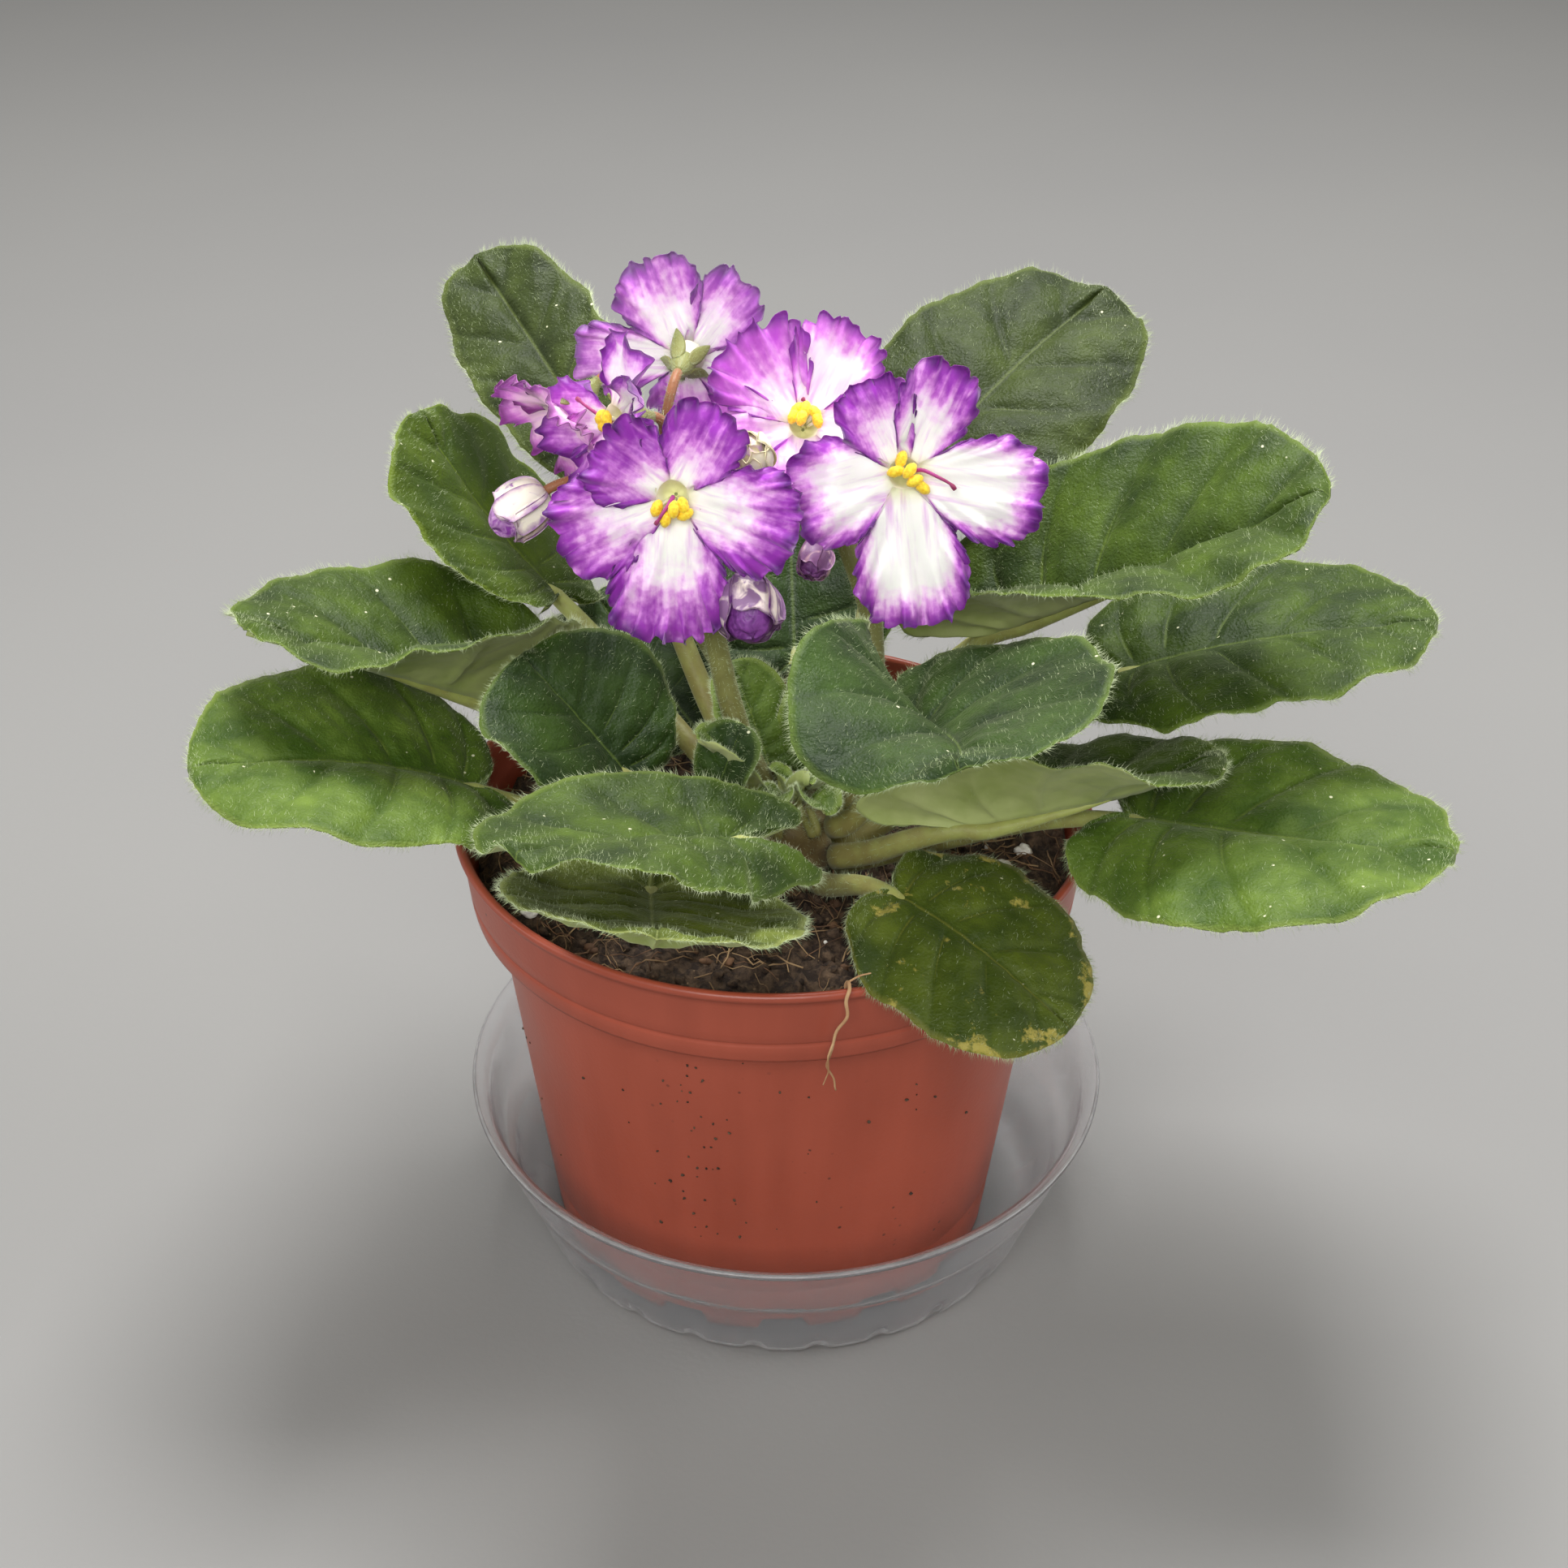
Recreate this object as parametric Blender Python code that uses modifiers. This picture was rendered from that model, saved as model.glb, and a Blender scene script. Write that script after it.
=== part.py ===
"""Potted African violet: a plant with violet and white flowers, in a plastic pot on a clear saucer.

Lengths are millimetres in the tables below and metres in the scene. The pot's axis is the Z axis,
the saucer stands on z = 0 and the plant's front faces -Y.
"""
import math

import bmesh
import bpy
from mathutils import Vector

MM = 0.001
GAP = 0.3  # clearance kept between separate pieces

# Pot
RIM_Z = 95.5
RIM_R = 60.0
COLLAR_Z = 79.0
COLLAR_R = 57.4
GROOVE_Z = 83.2
GROOVE_R = 58.3
BODY_TOP_R = 53.2
FOOT_Z = 1.5
FOOT_R = 44.0
FOOT_HEIGHT = 4.5
FOOT_RING = 3.0  # width of the ring of feet
POT_WALL = 1.4
NOTCHES = 14
NOTCH_ANGLE = 12.5
NOTCH_START = 3.0
NOTCH_DEPTH = 6.0
DRAIN_HOLES = 6
DRAIN_R = 3.5
DRAIN_RING = 26.0
POT_STEPS = 42

# Saucer, set a little off the pot's axis
SAUCER_X = 2.7
SAUCER_Y = 1.2
SAUCER_Z = 33.0
SAUCER_RIM_R = 63.3
SAUCER_FLANGE = 2.4
SAUCER_STEP_Z = 17.5
SAUCER_STEP_R = 57.5
SAUCER_BASE_R = 51.3
SAUCER_WALL = 0.9
SAUCER_FLOOR = FOOT_Z - GAP
SAUCER_STEPS = 40

# Soil and crown
SOIL_Z = 87.0
SOIL_BUMP = 1.6
CROWN_X = 3.0
CROWN_Y = -12.0
CROWN_R = 8.0
CROWN_HEIGHT = 17.0

# Leaves
BLADE_THICK = 1.0
PETIOLE_R = 2.3
PETIOLE_TAPER = 0.05  # share of its radius a petiole loses at each point
TIER_Z = SOIL_Z + 3.5  # height of the lowest petioles on the crown
TIER_STEP = 3.6
BLADE_ROWS = 7
BLADE_HALF_COLUMNS = 4
BASE_SPREAD = 0.12  # how far behind the leaf base the widening curve starts

# Flowers
PETAL_THICK = 0.6
THROAT_R = 3.0
THROAT_DEPTH = 3.0
FLOWER_SPOKES = 25
CALYX_LENGTH = 5.0
PEDICEL_R = 0.9
FLOWER_RINGS = (0.0, 0.5, 1.0)

GREEN = (0.035, 0.105, 0.022)
TERRACOTTA = (0.33, 0.068, 0.038)
VIOLET = (0.34, 0.05, 0.50)
PALE_STEM = (0.25, 0.28, 0.08)
CREAM = (0.75, 0.66, 0.50)


# ---------------------------------------------------------------- scene helpers

def clear_scene():
    for old in list(bpy.data.objects):
        bpy.data.objects.remove(old, do_unlink=True)


def make_collection(name):
    found = bpy.data.collections.new(name)
    bpy.context.scene.collection.children.link(found)
    return found


def material(name, colour, roughness):
    made = bpy.data.materials.new(name)
    made.use_nodes = True
    shader = made.node_tree.nodes["Principled BSDF"]
    shader.inputs["Base Color"].default_value = (*colour, 1.0)
    shader.inputs["Roughness"].default_value = roughness
    shader.inputs["Metallic"].default_value = 0.0
    return made


def place(name, data, surface, collection):
    made = bpy.data.objects.new(name, data)
    if surface is not None:
        data.materials.append(surface)
    collection.objects.link(made)
    return made


def mesh_from(name, points, faces):
    data = bpy.data.meshes.new(name)
    data.from_pydata([tuple(MM * value for value in point) for point in points], [], faces)
    data.update()
    return data


def turned(name, profile, steps, surface, collection):
    """Solid of revolution from a profile of (radius, height) points."""
    edges = [(i, i + 1) for i in range(len(profile) - 1)]
    data = bpy.data.meshes.new(name)
    data.from_pydata([(MM * r, 0.0, MM * z) for r, z in profile], edges, [])
    made = place(name, data, surface, collection)
    screw = made.modifiers.new("Turn", "SCREW")
    screw.steps = steps
    screw.render_steps = steps
    screw.use_merge_vertices = True
    screw.merge_threshold = 0.00001
    screw.use_normal_calculate = True
    return made


def tube(name, points, radii, surface, collection, sides=1):
    """Round rod through the points, with a radius at each one."""
    data = bpy.data.curves.new(name, "CURVE")
    data.dimensions = "3D"
    data.bevel_depth = MM
    data.bevel_resolution = sides
    data.use_fill_caps = True
    spline = data.splines.new("POLY")
    spline.points.add(len(points) - 1)
    for knot, point, radius in zip(spline.points, points, radii):
        knot.co = (*(MM * value for value in point), 1.0)
        knot.radius = radius
    return place(name, data, surface, collection)


def as_mesh(curve_object, collection):
    """The curve object as a welded mesh object of the same name."""
    evaluated = curve_object.evaluated_get(bpy.context.evaluated_depsgraph_get())
    data = bpy.data.meshes.new_from_object(evaluated)
    name = curve_object.name
    matrix = curve_object.matrix_world.copy()
    bpy.data.objects.remove(curve_object, do_unlink=True)
    weld = bmesh.new()
    weld.from_mesh(data)
    bmesh.ops.remove_doubles(weld, verts=weld.verts, dist=0.000001)
    bmesh.ops.recalc_face_normals(weld, faces=weld.faces)
    bmesh.ops.triangulate(weld, faces=weld.faces)
    weld.to_mesh(data)
    weld.free()
    made = place(name, data, None, collection)
    made.matrix_world = matrix
    return made


def combine(target, tool, operation):
    modifier = target.modifiers.new(operation.title(), "BOOLEAN")
    modifier.operation = operation
    modifier.solver = "EXACT"
    modifier.object = tool


def hide_tool(tool):
    tool.hide_render = True
    tool.display_type = "WIRE"


def bezier(start, pull_a, pull_b, end, count):
    points = []
    for i in range(count + 1):
        t = i / count
        u = 1 - t
        points.append(start * u ** 3 + pull_a * 3 * u * u * t + pull_b * 3 * u * t * t + end * t ** 3)
    return points


def heading_vector(heading, rise):
    h = math.radians(heading)
    e = math.radians(rise)
    return Vector((math.cos(e) * math.cos(h), math.cos(e) * math.sin(h), math.sin(e)))


# ---------------------------------------------------------------- pot, saucer, soil

def wall_radius(z):
    """Outer radius of the pot's tapered body."""
    return FOOT_R + (BODY_TOP_R - FOOT_R) * (z - FOOT_Z) / (COLLAR_Z - FOOT_Z)


def pot_floor_z():
    return FOOT_Z + FOOT_HEIGHT


def build_pot(parts, tools):
    inner_collar = COLLAR_R - POT_WALL
    inner_rim = RIM_R - POT_WALL
    floor = pot_floor_z()
    profile = [
        (0.0, floor),
        (FOOT_R - FOOT_RING, floor),
        (FOOT_R - FOOT_RING, FOOT_Z),
        (FOOT_R, FOOT_Z),
        (BODY_TOP_R, COLLAR_Z),
        (COLLAR_R, COLLAR_Z),
        (GROOVE_R - 0.2, GROOVE_Z - 0.6),
        (GROOVE_R - 0.6, GROOVE_Z),
        (GROOVE_R, GROOVE_Z + 0.6),
        (RIM_R - 0.5, RIM_Z - 1.6),
        (RIM_R, RIM_Z - 0.8),
        (RIM_R - 0.4, RIM_Z),
        (inner_rim + 0.2, RIM_Z),
        (inner_collar, COLLAR_Z + POT_WALL),
        (BODY_TOP_R - POT_WALL, COLLAR_Z + POT_WALL),
        (wall_radius(floor) - POT_WALL, floor + POT_WALL),
        (0.0, floor + POT_WALL),
    ]
    plastic = material("pot_polypropylene", TERRACOTTA, 0.45)
    pot = turned("pot", profile, POT_STEPS, plastic, parts)
    for i in range(NOTCHES):
        angle = math.radians(-90.0 + NOTCH_START + i * 360.0 / NOTCHES)
        width = 2 * FOOT_R * math.sin(math.radians(NOTCH_ANGLE / 2))
        notch = trapezoid_block("notch_%02d" % i, width, FOOT_HEIGHT - 1.0, NOTCH_DEPTH, tools)
        middle = FOOT_R - FOOT_RING / 2
        notch.location = (MM * middle * math.cos(angle), MM * middle * math.sin(angle), MM * (FOOT_Z - 1.0))
        notch.rotation_euler = (0.0, 0.0, angle)
        combine(pot, notch, "DIFFERENCE")
    for i in range(DRAIN_HOLES):
        angle = math.radians(i * 360.0 / DRAIN_HOLES)
        bpy.ops.mesh.primitive_cylinder_add(vertices=12, radius=MM * DRAIN_R, depth=MM * 8.0)
        drill = bpy.context.object
        drill.name = "drain_%02d" % i
        drill.location = (MM * DRAIN_RING * math.cos(angle), MM * DRAIN_RING * math.sin(angle),
                          MM * (floor + POT_WALL / 2))
        move_to(drill, tools)
        combine(pot, drill, "DIFFERENCE")
    return pot


def move_to(made, collection):
    for holder in list(made.users_collection):
        holder.objects.unlink(made)
    collection.objects.link(made)
    hide_tool(made)


def trapezoid_block(name, width, height, depth, tools):
    """Block with a trapezoid face, wide at its foot, for the gaps between the pot's feet."""
    half = width / 2
    top = half - 1.2
    outline = [(-half, -1.0), (half, -1.0), (half, 1.0), (top, height), (-top, height), (-half, 1.0)]
    data = bpy.data.curves.new(name, "CURVE")
    data.dimensions = "2D"
    data.fill_mode = "BOTH"
    data.extrude = MM * depth / 2
    spline = data.splines.new("POLY")
    spline.points.add(len(outline) - 1)
    for knot, (x, y) in zip(spline.points, outline):
        knot.co = (MM * x, MM * y, 0.0, 1.0)
    spline.use_cyclic_u = True
    flat = place(name, data, None, tools)
    block = as_mesh(flat, tools)
    # the outline stands upright, its normal along local X
    for vertex in block.data.vertices:
        x, y, z = vertex.co
        vertex.co = (z, x, y)
    hide_tool(block)
    return block


def build_saucer(parts):
    wall = SAUCER_WALL
    neck = SAUCER_RIM_R - SAUCER_FLANGE
    profile = [
        (0.0, 0.0),
        (SAUCER_BASE_R - 1.2, 0.0),
        (SAUCER_BASE_R, 1.2),
        (SAUCER_STEP_R - 1.4, SAUCER_STEP_Z - 0.8),
        (SAUCER_STEP_R, SAUCER_STEP_Z),
        (neck, SAUCER_Z - wall - 0.4),
        (SAUCER_RIM_R - 0.3, SAUCER_Z - wall - 0.4),
        (SAUCER_RIM_R, SAUCER_Z - wall),
        (SAUCER_RIM_R - 0.3, SAUCER_Z),
        (neck - wall, SAUCER_Z),
        (SAUCER_STEP_R - wall, SAUCER_STEP_Z + 0.4),
        (SAUCER_STEP_R - 1.4 - wall, SAUCER_STEP_Z - 0.4),
        (SAUCER_BASE_R - wall - 0.6, SAUCER_FLOOR + 1.0),
        (SAUCER_BASE_R - wall - 1.8, SAUCER_FLOOR),
        (0.0, SAUCER_FLOOR),
    ]
    clear = material("saucer_clear_plastic", (0.82, 0.84, 0.85), 0.08)
    saucer = turned("saucer", profile, SAUCER_STEPS, clear, parts)
    saucer.location = (MM * SAUCER_X, MM * SAUCER_Y, 0.0)
    return saucer


def soil_height(x, y):
    """Uneven top of the potting soil, level round the crown."""
    away = math.hypot(x - CROWN_X, y - CROWN_Y)
    swell = 0.5 * math.sin(0.16 * x + 0.8) + 0.5 * math.sin(0.19 * y + 0.11 * x)
    settle = 1 - math.exp(-(away / 26.0) ** 4)
    return SOIL_Z + SOIL_BUMP * swell * settle


def build_soil(parts):
    floor = pot_floor_z() + POT_WALL + GAP
    top_r = RIM_R - POT_WALL - 2.6
    shelf = COLLAR_Z + POT_WALL + GAP
    shelf_r = COLLAR_R - POT_WALL - GAP - 0.2
    body_r = BODY_TOP_R - POT_WALL - GAP - 0.2
    foot_r = wall_radius(floor) - POT_WALL - GAP - 0.2
    profile = [(0.0, floor), (foot_r, floor), (body_r, shelf), (shelf_r, shelf)]
    profile += [(top_r - 1.5, SOIL_Z), (42.0, SOIL_Z), (28.0, SOIL_Z), (14.0, SOIL_Z), (0.0, SOIL_Z)]
    peat = material("soil_peat", (0.020, 0.013, 0.009), 0.95)
    soil = as_mesh(turned("soil", profile, POT_STEPS, None, parts), parts)
    soil.data.materials.append(peat)
    for vertex in soil.data.vertices:
        x, y, z = (value / MM for value in vertex.co)
        if z > SOIL_Z - 1.0:
            vertex.co.z = MM * soil_height(x, y)
    return soil


def build_crown(parts):
    base = SOIL_Z + GAP
    top = base + CROWN_HEIGHT
    profile = [(0.0, base), (CROWN_R - 1.0, base), (CROWN_R, base + 2.0), (CROWN_R, top - 2.5),
               (CROWN_R - 1.5, top - 0.5), (0.0, top)]
    crown = turned("crown_stem", profile, 16, material("crown_tissue", (0.10, 0.09, 0.035), 0.7), parts)
    crown.location = (MM * CROWN_X, MM * CROWN_Y, 0.0)
    return crown


# ---------------------------------------------------------------- leaves

class Leaf:
    """A leaf blade on its petiole. Left and right are seen from the crown, looking to the tip."""

    def __init__(self, name, base, heading, rise, length, width, tier, bend=-10, sweep=0, roll=0,
                 fold=(12, 12), curl=(4, 4), lobe=(0.14, 0.14), widest=0.4, flatten=0.5,
                 petiole=PETIOLE_R):
        self.name = name
        self.base = Vector(base)
        self.heading = heading
        self.rise = rise
        self.length = length
        self.width = width
        self.tier = tier
        self.bend = bend
        self.sweep = sweep
        self.roll = math.radians(roll)
        self.fold = fold
        self.curl = curl
        self.lobe = lobe
        self.widest = widest
        self.flatten = flatten
        self.petiole = petiole

    def direction(self, s):
        return heading_vector(self.heading + self.sweep * s, self.rise + self.bend * s)

    def midrib(self, s):
        steps = 24
        point = self.base.copy()
        for i in range(steps):
            point += self.direction(s * (i + 0.5) / steps) * (self.length * s / steps)
        return point

    def half_width(self, s):
        if s < self.widest:
            part = (self.widest - s) / (self.widest + BASE_SPREAD)
            return self.width / 2 * math.sqrt(1 - part * part)
        part = (s - self.widest) / (1 - self.widest)
        return self.width / 2 * math.sqrt(max(0.0, 1 - part ** 2.4))

    def frame(self, s):
        ahead = self.direction(s)
        h = math.radians(self.heading + self.sweep * s)
        level = Vector((-math.sin(h), math.cos(h), 0.0))
        above = ahead.cross(level)
        side = level * math.cos(self.roll) + above * math.sin(self.roll)
        up = above * math.cos(self.roll) - level * math.sin(self.roll)
        return ahead, side, up

    def point(self, s, t):
        """Point of the blade at s from base to tip and t from the right edge (-1) to the left (1)."""
        which = 0 if t >= 0 else 1
        sign = 1 if t >= 0 else -1
        out = abs(t)
        ahead, side, up = self.frame(s)
        fold = math.radians(self.fold[which] * (1 - self.flatten * s))
        curl = math.radians(self.curl[which] * (1 - self.flatten * s))
        if abs(curl) < 0.01:
            curl = 0.01
        across = (math.sin(fold + curl * out) - math.sin(fold)) / curl
        lift = (math.cos(fold) - math.cos(fold + curl * out)) / curl
        reach = self.half_width(s)
        back = self.lobe[which] * self.length * math.sin(math.pi * out ** 1.15) ** 0.8 * (1 - s) ** 4
        return self.midrib(s) + side * (sign * across * reach) + up * (lift * reach) - ahead * back


LEAVES = [
    Leaf("leaf_back_left", (-33, 41, 148), 121, 24, 58, 29, 2.4, bend=-5, roll=-24, fold=(8, 14)),
    Leaf("leaf_back_right", (28, 36, 147), 52, 24, 60, 47, 2, sweep=-10, roll=7, fold=(11, 3),
         curl=(0, -11), widest=0.33),
    Leaf("leaf_upper_left", (-43, 40, 118), 147, 32, 45, 52, 1.2, bend=22, roll=11, fold=(11, 0),
         curl=(0, -17), lobe=(0.06, 0.14)),
    Leaf("leaf_folded_left", (-48, 14, 107), 208, 31, 59, 60, 0, bend=2, sweep=5, roll=5, fold=(63, 34),
         curl=(8, 33), lobe=(0.2, 0.14), widest=0.33, flatten=1.05),
    Leaf("leaf_low_left", (-54, -13, 106.6), 196, 31, 52, 56, 0, bend=-36, roll=2, fold=(8, 10),
         curl=(-15, 5), lobe=(0.2, 0.1), widest=0.35, flatten=0.2),
    Leaf("leaf_inner_left", (-26, -17, 112), 158, 48, 29, 45, 2, bend=-13, sweep=-10, fold=(6, 12)),
    Leaf("leaf_back_middle", (4, 24, 112), 92, 34, 56, 50, 1, bend=-14),
    Leaf("leaf_back_low_left", (-14, 19, 97.5), 122, 15, 45, 35, 0, bend=0, fold=(0, 5),
         lobe=(0.06, 0.1)),
    Leaf("leaf_heart", (-10, -21.5, 111.6), 47, 64, 13, 15, 3, bend=-13, fold=(4, 14), widest=0.45,
         petiole=1.3),
    Leaf("leaf_arched_front", (-6, -49, 120), 208, 21, 45, 46, 1, bend=-6, sweep=19, roll=29,
         fold=(-7, 21), curl=(-49, 32), lobe=(0.29, 0.4), flatten=0.85),
    Leaf("leaf_low_front", (-21, -44, 106), -86, 21, 48, 50, 0, bend=6, roll=-11, fold=(3, -2),
         curl=(0, 0), flatten=0.45),
    Leaf("leaf_over_rim", (21, -38, 101.4), -35, -8, 39, 42, 0, bend=-27, fold=(4, 0), curl=(-2, -21),
         lobe=(0.1, 0.1), widest=0.38),
    Leaf("leaf_low_right", (64, -24, 108), -32, 11, 57, 60, 0, bend=-3, sweep=10, roll=-12,
         fold=(16, 2), curl=(13, -50), widest=0.37, flatten=0.95, petiole=2.0),
    Leaf("leaf_mid_right", (65, 10, 118), -3, 22, 58, 53, 0, bend=-16, sweep=-10, roll=-7,
         fold=(15, 1), curl=(11, -15), lobe=(0.11, 0.11), widest=0.27, flatten=0.6),
    Leaf("leaf_upper_right", (41, 10, 127), -22, 31, 69, 60, 2, bend=6, roll=19, fold=(20, 61),
         curl=(17, 4), lobe=(0.14, 0.2), widest=0.31, flatten=0.85),
    Leaf("leaf_heart_right", (23, -26, 128), -66, 28, 51, 57, 3, bend=-8, sweep=-35, roll=18,
         fold=(15, 86), curl=(0, 14), lobe=(0.39, 0.18), flatten=1.15),
    Leaf("leaf_edge_on_right", (33, -28, 109), 3, 8, 48, 49, 1, bend=14, roll=-21, fold=(26, 55),
         curl=(6, -11), lobe=(0.17, 0.4), flatten=1.0, petiole=2.5),
]


def petiole_path(leaf):
    """Centre line of the petiole, from the crown's side to under the first part of the midrib."""
    out = Vector((leaf.base.x - CROWN_X, leaf.base.y - CROWN_Y, 0.0)).normalized()
    radius = CROWN_R + GAP + leaf.petiole * 0.4
    start = Vector((CROWN_X, CROWN_Y, TIER_Z + TIER_STEP * leaf.tier)) + out * radius
    span = (leaf.base - start).length
    leave = (out + Vector((0.0, 0.0, 0.35))).normalized()
    points = bezier(start, start + leave * span * 0.35, leaf.base - leaf.direction(0) * span * 0.35
                    - Vector((0.0, 0.0, 0.8)), leaf.base - Vector((0.0, 0.0, 0.8)), 7)
    for s in (0.09, 0.2):
        _, side, up = leaf.frame(s)
        points.append(leaf.midrib(s) - up * 0.7 + side * 0.13)
    return points


def build_leaf(leaf, surface, parts, tools):
    columns = [i / BLADE_HALF_COLUMNS for i in range(-BLADE_HALF_COLUMNS, BLADE_HALF_COLUMNS + 1)]
    rows = [math.sin(i / BLADE_ROWS * math.pi / 2) for i in range(BLADE_ROWS)]
    points = [leaf.point(s, t) for s in rows for t in columns]
    points.append(leaf.midrib(1.0))
    wide = len(columns)
    faces = []
    for r in range(len(rows) - 1):
        for c in range(wide - 1):
            a = r * wide + c
            faces.append((a, a + wide, a + wide + 1, a + 1))
    last = (len(rows) - 1) * wide
    faces += [(last + c, len(points) - 1, last + c + 1) for c in range(wide - 1)]
    blade = place(leaf.name, mesh_from(leaf.name, points, faces), surface, parts)
    solid = blade.modifiers.new("Thickness", "SOLIDIFY")
    solid.thickness = MM * BLADE_THICK
    solid.offset = 0.0
    blade.modifiers.new("Flat facets", "TRIANGULATE")
    path = petiole_path(leaf)
    radii = [leaf.petiole * (1 - PETIOLE_TAPER * i) for i in range(len(path) - 2)]
    radii += [leaf.petiole * 0.48, leaf.petiole * 0.3]
    petiole = as_mesh(tube(leaf.name + "_petiole", path, radii, None, tools), tools)
    hide_tool(petiole)
    combine(blade, petiole, "UNION")
    return blade


# ---------------------------------------------------------------- flowers

class Flower:
    """An open flower: five petals of given lengths round a throat, facing a heading and rise."""

    def __init__(self, name, centre, heading, rise, lengths, spin=0, cup=0.25, colour=VIOLET):
        self.name = name
        self.centre = Vector(centre)
        self.axis = heading_vector(heading, rise)
        self.lengths = lengths
        self.spin = math.radians(spin)
        self.cup = cup
        self.colour = colour
        level = Vector((0, 0, 1)).cross(self.axis).normalized()
        above = self.axis.cross(level)
        self.right = level * math.cos(self.spin) + above * math.sin(self.spin)
        self.up = above * math.cos(self.spin) - level * math.sin(self.spin)

    def outline(self, angle):
        """Radius of the flower's edge at an angle clockwise from its top."""
        reach = 0.42 * min(self.lengths)
        for centre, half, length in zip(PETAL_ANGLES, PETAL_HALF_ANGLES, self.lengths):
            off = abs((angle - centre + 180.0) % 360.0 - 180.0) / half
            if off < 1.0:
                reach = max(reach, length * (1 - off ** 2.6) ** 0.5)
        return reach

    def point(self, ring, angle):
        radius = THROAT_R + (self.outline(angle) - THROAT_R) * ring
        depth = self.cup * radius
        a = math.radians(angle)
        ripple = 0.9 * ring ** 2 * math.sin(7 * a)
        return (self.centre + self.right * (radius * math.sin(a)) + self.up * (radius * math.cos(a))
                + self.axis * (depth + ripple))

    def back(self, distance):
        return self.centre - self.axis * distance


# petal order: upper right, right, bottom, left, upper left
PETAL_ANGLES = (32, 104, 180, 256, 328)
PETAL_HALF_ANGLES = (38, 42, 40, 42, 38)

FLOWERS = [
    Flower("front_right", (26, -5, 166), -88, 24, (19, 25, 27, 21, 18), cup=0.10),
    Flower("front_left", (-19, -10, 164), -98, 20, (18, 22, 26, 23, 15), cup=0.12),
    Flower("middle_back", (4, 23, 162), -86, 42, (20, 18, 16, 17, 18), cup=0.15),
    Flower("top_back", (-16, 32.6, 171), 80, -4, (19, 16, 15, 20, 18), cup=0.22),
    Flower("behind_left", (-31, 6, 170), -136, 12, (16, 15, 14, 16, 15), cup=0.25),
    Flower("fading_left", (-45, 18, 167), 186, -8, (13, 15, 14, 14, 12), cup=0.42,
           colour=(0.62, 0.25, 0.55)),
]

PEDUNCLE_FOOT_Z = SOIL_Z + CROWN_HEIGHT + 2 * GAP
PEDUNCLE_LEFT = [(-1.2, -13.6, PEDUNCLE_FOOT_Z), (-1.2, -13.6, 106.4), (-5.4, -11.6, 115), (-8.4, -9, 125),
                 (-11, -7.5, 138), (-13, -4, 148), (-13, -4, 150)]
PEDUNCLE_RIGHT = [(6.6, -12.4, PEDUNCLE_FOOT_Z), (6.8, -12.2, 107), (13, -3.4, 112.4), (18.6, 6, 118),
                  (18, 10, 130), (15, 11, 139), (12, 14, 146), (12, 14, 148)]
PEDUNCLE_BACK = [(1.6, -7.9, PEDUNCLE_FOOT_Z), (1.6, -7.9, 106.4), (-5, 1, 115), (-14, 9, 128),
                 (-20, 13, 140), (-22, 15, 147), (-22, 15, 149)]
STALK_RING = 1.55  # radius of the ring of pedicels on a peduncle's top


def flower_mesh(flower):
    step = 360.0 / FLOWER_SPOKES
    bottom = flower.centre - flower.axis * THROAT_DEPTH
    points = [bottom]
    waist = [flower.centre - flower.axis * THROAT_DEPTH * 0.7 + (flower.point(0.0, i * step)
             - flower.centre) * 0.7 for i in range(FLOWER_SPOKES)]
    points += waist
    for ring in FLOWER_RINGS:
        points += [flower.point(ring, i * step) for i in range(FLOWER_SPOKES)]
    faces = [(0, 1 + (i + 1) % FLOWER_SPOKES, 1 + i) for i in range(FLOWER_SPOKES)]
    for r in range(len(FLOWER_RINGS)):
        low = 1 + r * FLOWER_SPOKES
        high = low + FLOWER_SPOKES
        for i in range(FLOWER_SPOKES):
            j = (i + 1) % FLOWER_SPOKES
            faces.append((low + i, low + j, high + j, high + i))
    return mesh_from("corolla_" + flower.name, points, faces)


def build_corolla(flower, parts):
    petal = material("petals_" + flower.name, flower.colour, 0.6)
    corolla = place("corolla_" + flower.name, flower_mesh(flower), petal, parts)
    solid = corolla.modifiers.new("Thickness", "SOLIDIFY")
    solid.thickness = MM * PETAL_THICK
    solid.offset = 0.0
    return corolla


def build_anthers(flower, parts):
    """The pair of yellow anthers in the throat, as one body."""
    bpy.ops.mesh.primitive_uv_sphere_add(segments=10, ring_count=6, radius=1.0)
    anthers = bpy.context.object
    anthers.name = "anthers_" + flower.name
    anthers.data.materials.append(material("pollen_" + flower.name, (0.85, 0.62, 0.02), 0.5))
    anthers.scale = (MM * 1.5, MM * 1.15, MM * 1.5)
    anthers.rotation_euler = flower.axis.to_track_quat("Z", "Y").to_euler()
    centre = flower.centre - flower.axis * (THROAT_DEPTH - PETAL_THICK / 2 - 2 * GAP - 1.5)
    anthers.location = centre * MM
    for holder in list(anthers.users_collection):
        holder.objects.unlink(anthers)
    parts.objects.link(anthers)
    return anthers


def stalk_foot(peduncle, bearing):
    """Where a pedicel stands on the peduncle's top."""
    angle = math.radians(bearing)
    ring = Vector((math.cos(angle), math.sin(angle), 0.0)) * STALK_RING
    return Vector(peduncle[-1]) + ring + Vector((0.0, 0.0, GAP))


def stalk_path(start, end, facing, count):
    span = (end - start).length
    lift = Vector((0.0, 0.0, 1.0))
    return [start] + bezier(start + lift, start + lift * span * 0.35, end - facing * span * 0.35, end, count)


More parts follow.
